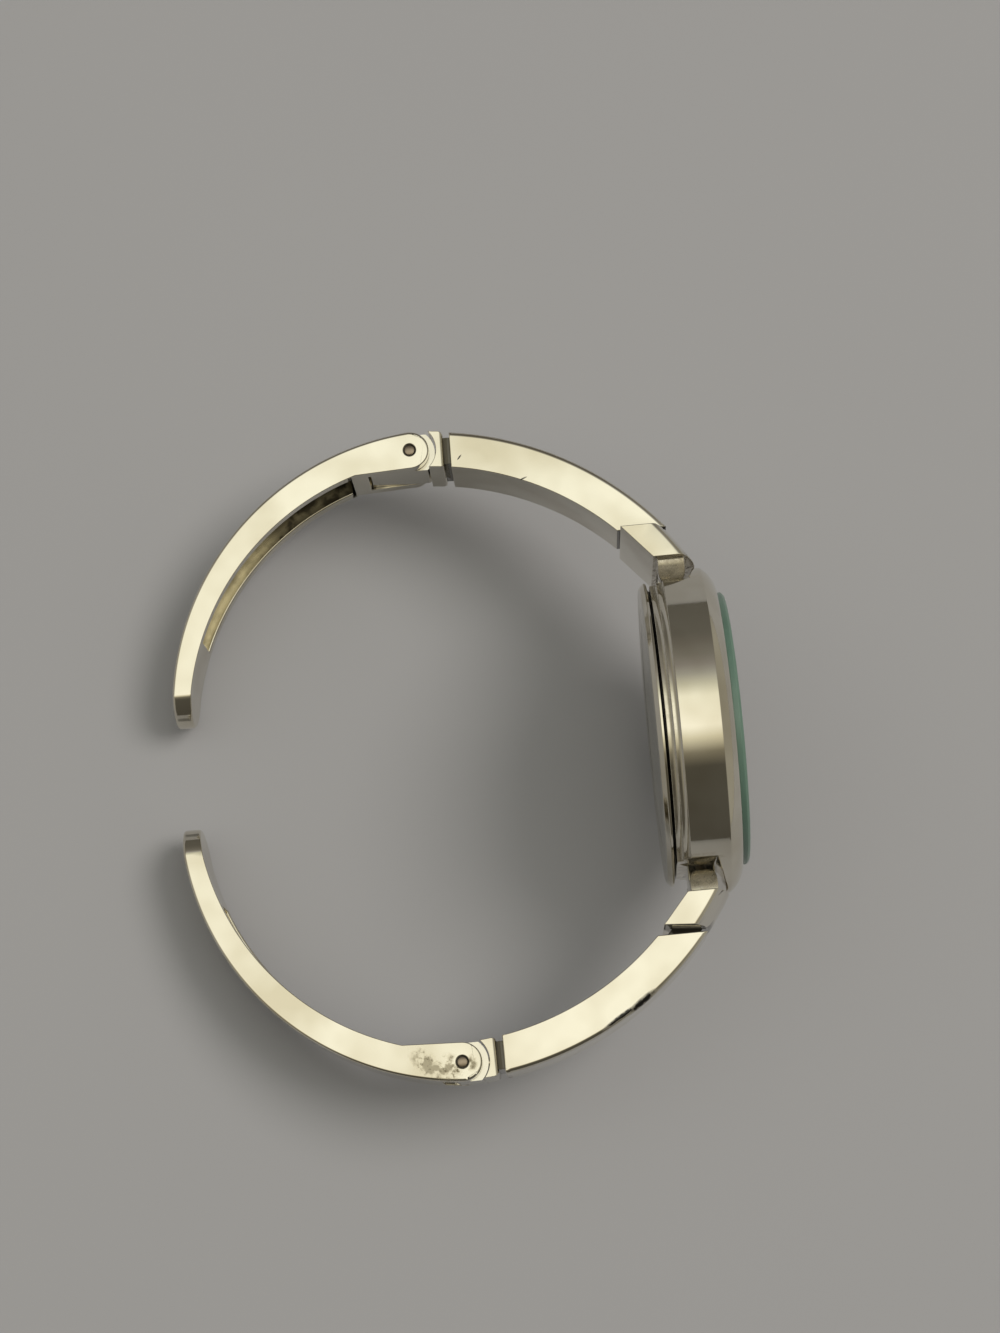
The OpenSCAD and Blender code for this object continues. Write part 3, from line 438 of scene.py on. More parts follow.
@dataclass(frozen=True)
class MetalFinish:
    """Metal with handling marks, hairlines and the slight waves that polishing leaves.

    The marks are sized in millimetres: smears a few millimetres wide, and hairlines that
    are far finer than shows, drawn a tenth of a millimetre wide so that they catch light.
    """

    name: str
    colour: str
    roughness: float = 0.06
    smear: float = 0.07
    smear_mm: float = 3.0
    hairline: float = 0.25
    wave_um: float = 12.0
    wave_mm: float = 5.0

    def material(self) -> bpy.types.Material:
        """Builds the material.

        Returns:
            The finished material.
        """
        material = bpy.data.materials.new(self.name)
        material.use_nodes = True
        tree = material.node_tree
        shader = tree.nodes["Principled BSDF"]
        place = add_node(tree, "ShaderNodeTexCoord").outputs["Object"]
        self.fill(tree, shader, place)
        return material

    def fill(self, tree: bpy.types.NodeTree, shader: bpy.types.Node, place: Socket) -> None:
        """Sets the shader and links its patterns.

        Args:
            tree: The material's nodes.
            shader: Its main shader.
            place: Object coordinates.
        """
        shader.inputs["Metallic"].default_value = 1.0
        shader.inputs["Base Color"].default_value = srgb(self.colour)
        smear = add_node(
            tree,
            "ShaderNodeTexNoise",
            {"Vector": place, "Scale": 1 / (self.smear_mm * MM), "Detail": 4.0, "Roughness": 0.6},
        )
        rough = add_node(
            tree,
            "ShaderNodeMapRange",
            {
                "Value": smear.outputs["Fac"],
                "From Min": 0.42,
                "From Max": 0.72,
                "To Min": self.roughness,
                "To Max": self.roughness + self.smear,
            },
        )
        tree.links.new(rough.outputs["Result"], shader.inputs["Roughness"])
        height = self.hairlines(tree, place)
        wave = add_node(
            tree,
            "ShaderNodeTexNoise",
            {"Vector": place, "Scale": 1 / (self.wave_mm * MM), "Detail": 1.0, "Roughness": 0.3},
        )
        waved = add_node(
            tree,
            "ShaderNodeBump",
            {"Height": wave.outputs["Fac"], "Strength": 1.0, "Distance": self.wave_um * 0.001 * MM},
        )
        lined = add_node(
            tree,
            "ShaderNodeBump",
            {
                "Height": height,
                "Strength": self.hairline,
                "Distance": 0.002 * MM,
                "Normal": waved.outputs["Normal"],
            },
        )
        tree.links.new(lined.outputs["Normal"], shader.inputs["Normal"])

    def hairlines(self, tree: bpy.types.NodeTree, place: Socket) -> Socket:
        """Two crossing sets of long thin scratches.

        Args:
            tree: The material's nodes.
            place: Object coordinates.

        Returns:
            Height of the scratches, from 0 to 1.
        """
        sets: list[Socket] = []
        # Each scratch is about 0.08 mm wide and 4.5 mm long
        for turn, seed in ((0.5, 1.0), (2.1, 7.0)):
            mapped = add_node(
                tree,
                "ShaderNodeMapping",
                {"Vector": place, "Rotation": (0.4, 0.3, turn), "Scale": (12000.0, 220.0, 2500.0)},
            )
            noise = add_node(
                tree,
                "ShaderNodeTexNoise",
                {"Vector": mapped.outputs["Vector"], "W": seed, "Scale": 1.0, "Detail": 2.0},
                noise_dimensions="4D",
            )
            thin = add_node(
                tree,
                "ShaderNodeMapRange",
                {"Value": noise.outputs["Fac"], "From Min": 0.6, "From Max": 0.75},
            )
            sets.append(thin.outputs["Result"])
        return add_node(tree, "ShaderNodeMath", {0: sets[0], 1: sets[1]}, operation="MAXIMUM").outputs[0]


@dataclass(frozen=True)
class Mark:
    """A worn or scraped spot: its middle, half sizes and turn in bracelet millimetres."""

    centre: tuple[float, float, float]
    half: tuple[float, float, float]
    turn: float = 0.0

    def share(self, tree: bpy.types.NodeTree, place: Socket, lay: Lay) -> Socket:
        """Strength of the mark: 1 in its middle, 0 outside it.

        Args:
            tree: The material's nodes.
            place: Object coordinates.
            lay: Place of the bracelet's axes.

        Returns:
            The strength.
        """
        turned = lay.matrix.to_3x3().normalized() @ Matrix.Rotation(math.radians(self.turn), 3, "Z")
        settings = {
            "Vector": place,
            "Location": lay.point(*self.centre),
            "Rotation": turned.to_euler(),
            "Scale": [MM * size for size in self.half],
        }
        local = add_node(tree, "ShaderNodeMapping", settings, vector_type="TEXTURE")
        away = add_node(tree, "ShaderNodeVectorMath", {0: local.outputs["Vector"]}, operation="LENGTH")
        return add_node(
            tree,
            "ShaderNodeMapRange",
            {"Value": away.outputs["Value"], "From Min": 1.0, "From Max": 0.2, "To Max": 1.6},
        ).outputs["Result"]


@dataclass(frozen=True)
class WornFinish(MetalFinish):
    """Plated steel with dirt and painted shade in its hollows, near-black painted shade in its gaps, both
    painted as numbers, and worn marks.
    """

    lay: Lay | None = None
    worn_marks: tuple[Mark, ...] = ()
    scrapes: tuple[Mark, ...] = ()
    # Brown of the dirt and painted shade in hollows
    dirt: str = "#6d5c3e"
    haze: str = "#cbc4b2"
    haze_mm: float = 7.0
    worn: str = "#d0c8b4"
    speck: str = "#837964"
    # Near-black of the painted shade in gaps, which the scrapes share
    gap: str = "#0f0d0b"

    def fill(self, tree: bpy.types.NodeTree, shader: bpy.types.Node, place: Socket) -> None:
        """Adds a cloudy haze of handling, dirt with painted shade, near-black painted shade in gaps, and wear
        over the plain metal.

        Args:
            tree: The material's nodes.
            shader: Its main shader.
            place: Object coordinates.
        """
        super().fill(tree, shader, place)
        rough_from = shader.inputs["Roughness"].links[0].from_socket
        # Dirt and painted shade, as numbers painted on the mesh
        painted = add_node(tree, "ShaderNodeAttribute", attribute_name="dirt").outputs["Fac"]
        dirt = self.broken_up(tree, place, painted, 1.1, 0.35)
        wear = self.broken_up(tree, place, self.strongest(tree, place, self.worn_marks), 0.9, 0.1)
        scraped = self.broken_up(tree, place, self.strongest(tree, place, self.scrapes), 0.5, 0.55)
        # Painted shade in gaps, as numbers painted on the mesh
        gap = add_node(tree, "ShaderNodeAttribute", attribute_name="gap").outputs["Fac"]
        grain = add_node(
            tree,
            "ShaderNodeTexNoise",
            {"Vector": place, "Scale": 1 / (0.45 * MM), "Detail": 6.0, "Roughness": 0.75},
        )
        specks = add_node(
            tree,
            "ShaderNodeMapRange",
            {"Value": grain.outputs["Fac"], "From Min": 0.54, "From Max": 0.66},
        )
        worn = self.blend(tree, specks.outputs["Result"], srgb(self.worn), srgb(self.speck))
        cloud = add_node(
            tree,
            "ShaderNodeTexNoise",
            {"Vector": place, "Scale": 1 / (self.haze_mm * MM), "Detail": 2.0, "Roughness": 0.5},
        )
        hazy = add_node(
            tree,
            "ShaderNodeMapRange",
            {"Value": cloud.outputs["Fac"], "From Min": 0.35, "From Max": 0.7},
        )
        plate = self.blend(tree, hazy.outputs["Result"], srgb(self.colour), srgb(self.haze))
        metal = self.blend(tree, wear, plate, worn)
        dirt_and_shade_mixed = self.blend(tree, dirt, metal, srgb(self.dirt))
        # Painted shade in gaps and the scrapes both turn near-black
        dark = add_node(tree, "ShaderNodeMath", {0: gap, 1: scraped}, operation="MAXIMUM").outputs[0]
        tree.links.new(self.blend(tree, dark, dirt_and_shade_mixed, srgb(self.gap)), shader.inputs["Base Color"])
        most = add_node(tree, "ShaderNodeMath", {0: dirt, 1: wear}, operation="MAXIMUM")
        rough = add_node(tree, "ShaderNodeMix", {0: most.outputs[0], 2: rough_from, 3: 0.55})
        tree.links.new(rough.outputs[0], shader.inputs["Roughness"])
        cover = add_node(tree, "ShaderNodeMath", {0: dirt, 1: dark}, operation="MAXIMUM")
        metallic = add_node(tree, "ShaderNodeMath", {0: 1.0, 1: cover.outputs[0]}, operation="SUBTRACT")
        tree.links.new(metallic.outputs[0], shader.inputs["Metallic"])

    def strongest(self, tree: bpy.types.NodeTree, place: Socket, marks: Sequence[Mark]) -> Socket:
        """The strongest of several marks at each point.

        Args:
            tree: The material's nodes.
            place: Object coordinates.
            marks: The marks, at least one.

        Returns:
            Their strength.
        """
        assert self.lay is not None
        shares = [mark.share(tree, place, self.lay) for mark in marks]
        top = shares[0]
        for share in shares[1:]:
            top = add_node(tree, "ShaderNodeMath", {0: top, 1: share}, operation="MAXIMUM").outputs[0]
        return top

    def blend(self, tree: bpy.types.NodeTree, share: Socket, low: object, high: object) -> Socket:
        """Mixes two colours.

        Args:
            tree: The material's nodes.
            share: Share of the second colour.
            low: Colour, or socket, where the share is 0.
            high: Colour, or socket, where the share is 1.

        Returns:
            The mixed colour.
        """
        return add_node(tree, "ShaderNodeMix", {0: share, 6: low, 7: high}, data_type="RGBA").outputs[2]

    def broken_up(
        self, tree: bpy.types.NodeTree, place: Socket, strength: Socket, grain_mm: float, bare: float
    ) -> Socket:
        """A strength broken up by noise.

        Args:
            tree: The material's nodes.
            place: Object coordinates.
            strength: The strength that is broken up.
            grain_mm: Size of the specks.
            bare: Share that is left between the specks.

        Returns:
            Strength from 0 to 1.
        """
        noise = add_node(
            tree,
            "ShaderNodeTexNoise",
            {"Vector": place, "Scale": 1 / (grain_mm * MM), "Detail": 6.0, "Roughness": 0.65},
        )
        spread = add_node(
            tree,
            "ShaderNodeMapRange",
            {"Value": noise.outputs["Fac"], "From Min": 0.4, "From Max": 0.62, "To Min": bare},
        )
        both = add_node(
            tree,
            "ShaderNodeMath",
            {0: strength, 1: spread.outputs["Result"]},
            operation="MULTIPLY",
        )
        return add_node(
            tree,
            "ShaderNodeMapRange",
            {"Value": both.outputs[0], "From Min": 0.05, "From Max": 0.8},
        ).outputs["Result"]


@dataclass(frozen=True)
class TurnedFinish(MetalFinish):
    """Metal turned or brushed in rings or rays round the watch's axis.

    ring_mm is the spacing of the tool marks; rays counts soft sunray sectors, 0 for rings.
    """

    lay: Lay | None = None
    ring_mm: float = 0.12
    rays: float = 0.0
    metallic: float = 1.0

    def fill(self, tree: bpy.types.NodeTree, shader: bpy.types.Node, place: Socket) -> None:
        """Adds tool marks round the watch's axis.

        Args:
            tree: The material's nodes.
            shader: Its main shader.
            place: Object coordinates.
        """
        super().fill(tree, shader, place)
        shader.inputs["Metallic"].default_value = self.metallic
        assert self.lay is not None
        back = self.lay.matrix.inverted()
        turn = back.to_euler()
        mapped = add_node(
            tree,
            "ShaderNodeMapping",
            {
                "Vector": place,
                "Location": back.translation,
                "Rotation": turn,
                "Scale": back.to_scale(),
            },
        )
        flat = add_node(tree, "ShaderNodeSeparateXYZ", {0: mapped.outputs["Vector"]})
        y, z = flat.outputs["Y"], flat.outputs["Z"]
        if self.rays:
            angle = add_node(tree, "ShaderNodeMath", {0: z, 1: y}, operation="ARCTAN2")
            spread = add_node(
                tree, "ShaderNodeMath", {0: angle.outputs[0], 1: self.rays}, operation="MULTIPLY"
            ).outputs[0]
        else:
            disc = add_node(tree, "ShaderNodeCombineXYZ", {"X": y, "Y": z})
            length = add_node(
                tree, "ShaderNodeVectorMath", {0: disc.outputs[0]}, operation="LENGTH"
            ).outputs["Value"]
            spread = add_node(
                tree, "ShaderNodeMath", {0: length, 1: 1 / self.ring_mm}, operation="MULTIPLY"
            ).outputs[0]
        marks = add_node(
            tree,
            "ShaderNodeTexNoise",
            {"W": spread, "Scale": 1.0, "Detail": 3.0, "Roughness": 0.7},
            noise_dimensions="1D",
        )
        last = shader.inputs["Normal"].links[0].from_socket
        grooved = add_node(
            tree,
            "ShaderNodeBump",
            {"Height": marks.outputs["Fac"], "Strength": 0.5, "Distance": 0.01 * MM, "Normal": last},
        )
        tree.links.new(grooved.outputs["Normal"], shader.inputs["Normal"])


@dataclass(frozen=True)
class MouldedFinish:
    """A moulded, ground or tarnished surface: fine grain and a slightly uneven colour.

    The colour drifts to the shade in clouds of about 2 mm. painted names an attribute of
    the mesh, if any, that covers the surface with the shade where it is 1.
    """

    name: str
    colour: str
    shade: str
    roughness: float
    grain_mm: float = 0.15
    transmission: float = 0.0
    ior: float = 1.5
    metallic: float = 0.0
    painted: str = ""

    def material(self) -> bpy.types.Material:
        """Builds the material.

        Returns:
            The finished material.
        """
        material = bpy.data.materials.new(self.name)
        material.use_nodes = True
        tree = material.node_tree
        shader = tree.nodes["Principled BSDF"]
        shader.inputs["IOR"].default_value = self.ior
        shader.inputs["Metallic"].default_value = self.metallic
        shader.inputs["Transmission Weight"].default_value = self.transmission
        place = add_node(tree, "ShaderNodeTexCoord").outputs["Object"]
        cloud = add_node(
            tree, "ShaderNodeTexNoise", {"Vector": place, "Scale": 1 / (2 * MM), "Detail": 3.0}
        )
        share = cloud.outputs["Fac"]
        if self.painted:
            film = add_node(tree, "ShaderNodeAttribute", attribute_name=self.painted).outputs["Fac"]
            spots = add_node(
                tree,
                "ShaderNodeMapRange",
                {"Value": share, "From Min": 0.45, "From Max": 0.75, "To Max": 0.6},
            )
            share = add_node(
                tree,
                "ShaderNodeMath",
                {0: film, 1: 0.8, 2: spots.outputs["Result"]},
                operation="MULTIPLY_ADD",
                use_clamp=True,
            ).outputs[0]
        colour = add_node(
            tree,
            "ShaderNodeMix",
            {0: share, 6: srgb(self.colour), 7: srgb(self.shade)},
            data_type="RGBA",
        )
        tree.links.new(colour.outputs[2], shader.inputs["Base Color"])
        grain = add_node(
            tree,
            "ShaderNodeTexNoise",
            {"Vector": place, "Scale": 1 / (self.grain_mm * MM), "Detail": 3.0},
        )
        rough = add_node(
            tree,
            "ShaderNodeMapRange",
            {
                "Value": grain.outputs["Fac"],
                "To Min": self.roughness * 0.8,
                "To Max": min(1.0, self.roughness * 1.2),
            },
        )
        tree.links.new(rough.outputs["Result"], shader.inputs["Roughness"])
        bump = add_node(
            tree,
            "ShaderNodeBump",
            {"Height": grain.outputs["Fac"], "Strength": 0.4, "Distance": 0.01 * MM},
        )
        tree.links.new(bump.outputs["Normal"], shader.inputs["Normal"])
        return material


@dataclass
class Finishes:
    """Every material of the watch, by what it is and how it was made."""

    lay: Lay
    made: dict[str, bpy.types.Material] = field(default_factory=dict)

    def __post_init__(self) -> None:
        """Builds each finish once."""
        kinds = [
            # Nickel-plated steel, mirror polished: bright and warm, with a cloudy haze of handling
            WornFinish(
                "plated_polished_steel",
                "#e4e0d4",
                lay=self.lay,
                # Plating rubbed through beside the 6 o'clock hinge pin
                worn_marks=(
                    Mark((-29.95, -31.4, 4.0), (2.8, 1.25, 1.0), -42),
                    Mark((-28.0, -31.95, 4.0), (1.7, 1.8, 1.0)),
                    Mark((-25.7, -31.6, 4.0), (0.7, 1.0, 1.0)),
                ),
                # A knock on the outer edge of the 6 o'clock arc link, and nicks on the 12 o'clock one
                scrapes=(
                    Mark((-8.4, -27.2, 4.0), (2.3, 0.5, 0.8), 36),
                    Mark((-10.6, -28.4, 4.0), (2.6, 0.28, 0.8), 31),
                    Mark((-15.3, 27.2, 4.0), (0.55, 0.1, 0.5), 20),
                    Mark((-21.6, 30.1, 4.0), (0.4, 0.1, 0.5), 50),
                ),
            ),
            # Plated hinge parts, polished before they are put together: bright, less mirror-like
            MetalFinish("polished_hinge_steel", "#dcd8cd", roughness=0.1, smear=0.1),
            # Turned pins stay duller and browner, as bare steel does
            MetalFinish("turned_pin_steel", "#9c8f80", roughness=0.28, smear=0.12, smear_mm=0.8),
            # Hardened spring steel, left as drawn: mid grey with a soft shine
            MetalFinish("drawn_spring_steel", "#9a9a98", roughness=0.25, smear=0.1),
            # Steel cover with rings of a fine brush: bright, its highlight drawn out across them
            TurnedFinish("ring_brushed_back", "#d6d3ca", roughness=0.16, lay=self.lay),
            # Brass blank brushed in rays and lacquered silver: pale, soft, with faint sectors
            TurnedFinish(
                "sunray_silver_dial",
                "#e8e7e0",
                roughness=0.34,
                lay=self.lay,
                rays=90.0,
                metallic=0.2,
            ),
            # Silver-plated ring, finely turned: satin grey that frames the dial
            TurnedFinish("satin_silver_flange", "#cfcdc6", roughness=0.3, lay=self.lay, ring_mm=0.06),
            # Hands and markers cut with a diamond tool: clean mirrors that flash or go dark
            MetalFinish("diamond_cut_steel", "#d8d7d2", roughness=0.03, smear=0.02),
            # Gilt brass of the movement's plates: warm and slightly dull
            MetalFinish("gilt_brass", "#cdb277", roughness=0.22, smear=0.1),
            # Enamelled copper wire, wound: reddish, with fine lines that break the shine
            MetalFinish("enamelled_copper_wire", "#b0603a", roughness=0.3, hairline=0.8),
            # Pressed steel can of the cell: pale grey, evenly bright
            MetalFinish("pressed_cell_steel", "#cfcfcc", roughness=0.2),
            # Bare steel in the arms' pockets, with a film of dust and skin grease that dulls it; film and
            # painted shade darken it towards the hinge
            MouldedFinish("tarnished_bare_steel", "#ddd2ac", "#3a3322", 0.4, metallic=0.5, painted="film"),
            # Moulded nitrile rubber: nearly black and matt
            MouldedFinish("black_seal_rubber", "#1b1b1b", "#262523", 0.6),
            # Moulded black nylon, pressed in round the crystal: a thin dark line with a dull shine
            MouldedFinish("nylon_crystal_gasket", "#1e201e", "#2b2d2a", 0.35),
            # Moulded acetal: milky white, half matt
            MouldedFinish("acetal_movement_holder", "#e6e2d8", "#dcd7cb", 0.5),
            # Solder mask on a circuit board: deep green, half glossy
            MouldedFinish("green_circuit_mask", "#2f6b45", "#255a39", 0.35),
            # Ground rim of mineral glass: the light that comes through the sheet turns it green
            MouldedFinish("ground_glass_rim", "#7d9f95", "#6c8c82", 0.3, transmission=0.25, ior=1.52),
        ]
        for kind in kinds:
            self.made[kind.name] = kind.material()
        self.made["clear_mineral_glass"] = self.clear_glass()

    def clear_glass(self) -> bpy.types.Material:
        """Polished mineral glass: quite clear, with faint wiping marks that blur its shine.

        Returns:
            The finished material.
        """
        material = bpy.data.materials.new("clear_mineral_glass")
        material.use_nodes = True
        tree = material.node_tree
        shader = tree.nodes["Principled BSDF"]
        shader.inputs["Base Color"].default_value = srgb("#fafdfb")
        shader.inputs["Transmission Weight"].default_value = 1.0
        shader.inputs["IOR"].default_value = 1.52
        place = add_node(tree, "ShaderNodeTexCoord").outputs["Object"]
        smear = add_node(
            tree, "ShaderNodeTexNoise", {"Vector": place, "Scale": 1 / (6 * MM), "Detail": 5.0}
        )
        rough = add_node(
            tree,
            "ShaderNodeMapRange",
            {"Value": smear.outputs["Fac"], "From Min": 0.5, "From Max": 0.8, "To Max": 0.06},
        )
        tree.links.new(rough.outputs["Result"], shader.inputs["Roughness"])
        return material

    def __getitem__(self, name: str) -> bpy.types.Material:
        """A finish by name."""
        return self.made[name]


# Case


@dataclass
class MiddleCase:
    """The polished middle case with its notches and lug tabs."""

    lay: Lay
    finishes: Finishes
    band_r: float = 16.6
    back_x: float = -3.7
    front_x: float = 3.0
    bore_r: float = 12.9
    seal_r: float = 13.4
    seal_h: float = 0.45
    cover_r: float = 15.5
    step_drop: float = 0.5
    step_w: float = 0.65
    shoulder_w: float = 1.4
    bulge_r: float = 3.2
    rim_r: float = 14.7
    seat_r: float = 14.3
    seat_x: float = 1.75
    ledge_x: float = 1.45
    ledge_r: float = 12.3
    notch_floor: float = 14.0
    notch_front: float = 0.25
    notch_slant: float = 0.9
    lug: Point = (-1.2, 15.75)
    lug_r: float = 1.35
    lug_w: float = 4.8

    def section(self) -> list[Point]:
        """Outline of the ring's section.

        Returns:
            Its (radius, x) points.
        """
        shoulder = self.front_x - self.shoulder_w
        run, rise = self.band_r - self.rim_r, self.shoulder_w
        half = math.hypot(run, rise) / 2
        sink = math.sqrt(self.bulge_r**2 - half**2) / (2 * half)
        centre = ((self.band_r + self.rim_r) / 2 - sink * rise, (shoulder + self.front_x) / 2 - sink * run)
        low = math.degrees(math.atan2(shoulder - centre[1], self.band_r - centre[0]))
        high = math.degrees(math.atan2(self.front_x - centre[1], self.rim_r - centre[0]))
        step_1, step_2 = self.band_r - self.step_drop, self.band_r - 2 * self.step_drop
        return [
            (self.seal_r, self.back_x),
            (self.seal_r, self.back_x + self.seal_h),
            (self.bore_r, self.back_x + self.seal_h),
            (self.bore_r, self.ledge_x),
            (self.ledge_r, self.ledge_x),
            (self.ledge_r, self.seat_x),
            (self.seat_r, self.seat_x),
            (self.seat_r, self.front_x),
            *reversed(arc_points(centre, self.bulge_r, low, high, 8)),
            (self.band_r, self.back_x + 2 * self.step_w),
            (step_1, self.back_x + 2 * self.step_w),
            (step_1, self.back_x + self.step_w),
            (step_2, self.back_x + self.step_w),
            (step_2, self.back_x),
        ]

    def notch(self, side: Side) -> Solid:
        """The cutter that opens the case for an end link.

        Args:
            side: Half of the bracelet.

        Returns:
            The cutter.
        """
        deep = self.band_r + 1
        far = self.notch_front + self.notch_slant * (deep - self.notch_floor) / (
            self.band_r - self.notch_floor
        )
        outline = [
            (self.back_x - 1, self.notch_floor),
            (self.notch_front, self.notch_floor),
            (far, deep),
            (self.back_x - 1, deep),
        ]
        return Solid.prism("notch", outline, -self.band_r, self.band_r).moved(side.mirrored())

    def tab(self, side: Side) -> Solid:
        """The lug tab that stands in a notch and holds the lug pin.

        Args:
            side: Half of the bracelet.

        Returns:
            The tab.
        """
        x, y = self.lug
        half = self.lug_w / 2
        foot = [(x + self.lug_r, y), (x + self.lug_r, self.notch_floor - 0.15)]
        foot += [(x - self.lug_r, self.notch_floor - 0.15), (x - self.lug_r, y)]
        round_end = arc_points(self.lug, self.lug_r, 180, 0, 32)[1:-1]
        return Solid.prism("tab", foot + round_end, -half, half).moved(side.mirrored())

    def build(self) -> bpy.types.Object:
        """Makes, cuts and dresses the case.

        Returns:
            The case's object.
        """
        case = Solid.turned("middle_case", self.section(), 288)
        for side in Side:
            case.combine(Cut.TAKE_AWAY, self.notch(side))
            case.combine(Cut.ADD, self.tab(side))
        case.soften(fine=0.08)
        case.paint("dirt", self.dirt_at)
        case.paint("gap", self.gap_at)
        return case.dress(
            self.lay, [self.finishes["plated_polished_steel"]], "root", ["case_body"], "polished_steel"
        )

    def gap_at(self, p: Vector) -> float:
        """No light reaches the case's back face under the cover.

        Args:
            p: A point of the case.

        Returns:
            Strength from 0 to 1.
        """
        return float(p.x < self.back_x + 0.03 and math.hypot(p.y, p.z) < self.cover_r + 0.02)

    def dirt_at(self, p: Vector) -> float:
        """Dirt and painted shade sit low in the notches and in the ring steps.

        Args:
            p: A point of the case.

        Returns:
            Strength from 0 to 1.
        """
        if -0.2 < abs(p.y) - self.notch_floor < 0.3 and p.x < self.notch_front + 0.25:
            return 0.25
        near_steps = p.x < self.back_x + 0.8 and math.hypot(p.y, p.z) > self.cover_r - 0.5
        return 0.15 if near_steps else 0.0


@dataclass
class CaseClosures:
    """Back cover, crystal and their gaskets."""

    lay: Lay
    finishes: Finishes
    cover_r: float = 15.5
    cover_x: float = -4.65
    cover_bevel: float = 0.45
    dish_r: float = 11.2
    dish_d: float = 0.08
    ring_groove_r: float = 12.8
    groove_x: float = -3.95
    back_x: float = -3.7
    snap_ring: Point = (11.95, 12.85)
    snap_h: float = 0.7
    seal: Point = (12.85, 13.4)
    seal_h: float = 0.45
    seat_r: float = 14.3
    collar_x: float = 2.9
    crystal_r: float = 13.9
    crystal_x: Point = (1.75, 3.8)
    crystal_bevel: float = 0.25

    def build(self) -> None:
        """Makes and dresses the closures."""
        self.cover()
        self.crystal()
        self.gaskets()

    def cover(self) -> None:
        """Snap back: a ring-brushed face with a polished, bevelled edge."""
        x, edge, groove = self.cover_x, self.cover_r, self.ring_groove_r
        snap_in, snap_out = self.snap_ring
        outline = [
            (0, x + self.dish_d),
            (self.dish_r, x + self.dish_d),
            (self.dish_r + 0.3, x),
            (groove - 0.2, x),
            (groove - 0.1, x + 0.07),
            (groove + 0.1, x + 0.07),
            (groove + 0.2, x),
            (edge - self.cover_bevel, x),
            (edge, x + self.cover_bevel),
            (edge, self.groove_x),
            (edge - 0.7, self.groove_x),
            (edge - 0.7, self.back_x),
            (snap_out, self.back_x),
            (snap_out, self.back_x + self.snap_h),
            (snap_in, self.back_x + self.snap_h),
            (snap_in, self.groove_x),
            (0, self.groove_x),
        ]
        cover = Solid.turned("snap_back", outline, 256).soften(fine=0.08)
        # Painted shade on the cover's faces inside the case
        cover.paint("gap", lambda p: float(p.x > self.groove_x - 0.02 and math.hypot(p.y, p.z) < edge - 0.1))
        cover.dress(
            self.lay,
            [self.finishes["plated_polished_steel"], self.finishes["ring_brushed_back"]],
            "root",
            ["case_back"],
            "back_steel",
            pick=lambda c, n: int(c.x < self.cover_x + 0.1 and math.hypot(c.y, c.z) < 14.9),
        )

    def crystal(self) -> None:
        """Flat mineral crystal: clear faces and a ground green rim."""
        r, (low, high), bevel = self.crystal_r, self.crystal_x, self.crystal_bevel
        outline = [(0, low), (r, low), (r, high - bevel), (r - bevel, high), (0, high)]
        crystal = Solid.turned("mineral_crystal", outline, 256).soften(fine=0.04)
        crystal.dress(
            self.lay,
            [self.finishes["clear_mineral_glass"], self.finishes["ground_glass_rim"]],
            "root",
            ["crystal"],
            "green_glass",
            pick=lambda c, n: int(abs(n.x) < 0.97 and math.hypot(c.y, c.z) > r - 0.5),
        )

    def gaskets(self) -> None:
        """The ring round the crystal and the one under the back cover."""
        inner, outer, low, high = self.crystal_r, self.seat_r, self.crystal_x[0], self.collar_x
        ring = [(inner, low), (outer, low), (outer, high - 0.04)]
        ring += [(outer - 0.08, high), (inner + 0.08, high), (inner, high - 0.04)]
        Solid.turned("crystal_ring", ring, 256).soften(fine=0.03).dress(
            self.lay, [self.finishes["nylon_crystal_gasket"]], "root", ["crystal_gasket"], "clear_gasket"
        )
        (inner, outer), low, high = self.seal, self.back_x, self.back_x + self.seal_h
        seal = [(inner, low), (outer, low), (outer, high), (inner, high)]
        Solid.turned("back_seal", seal, 192).soften(fine=0.12).dress(
            self.lay, [self.finishes["black_seal_rubber"]], "root", ["case_back_gasket"], "seal_rubber"
        )


@dataclass(frozen=True)
class Hand:
    """Sizes of one ridged hand, its station and its angle from 12 o'clock in degrees."""

    body: str
    node: str
    x: float
    length: float
    width: float
    tail: float
    boss: float
    angle: float
    thick: float = 0.12

    def blade(self) -> Solid:
        """The hand with its boss, lying towards 12 o'clock.

        Returns:
            The solid.
        """
        x, half = self.x, self.width / 2
        shoulder, edge = self.length * 0.72, 0.05
        rings = []
        for y, wide in ((-self.tail, half * 0.8), (0.0, half * 0.86), (shoulder, half), (self.length, 0.04)):
            rings.append(
                [
                    Vector((x, y, -wide)),
                    Vector((x, y, wide)),
                    Vector((x + edge, y, wide)),
                    Vector((x + self.thick, y, 0)),
                    Vector((x + edge, y, -wide)),
                ]
            )
        top, round_r = x + self.thick, self.boss
        outline = [(0, x), (round_r, x), (round_r, top - 0.02), (round_r - 0.03, top), (0, top)]
        pointer = Solid.lofted(f"{self.body}_pointer", rings)
        return pointer.combine(Cut.ADD, Solid.turned("boss", outline, 64))


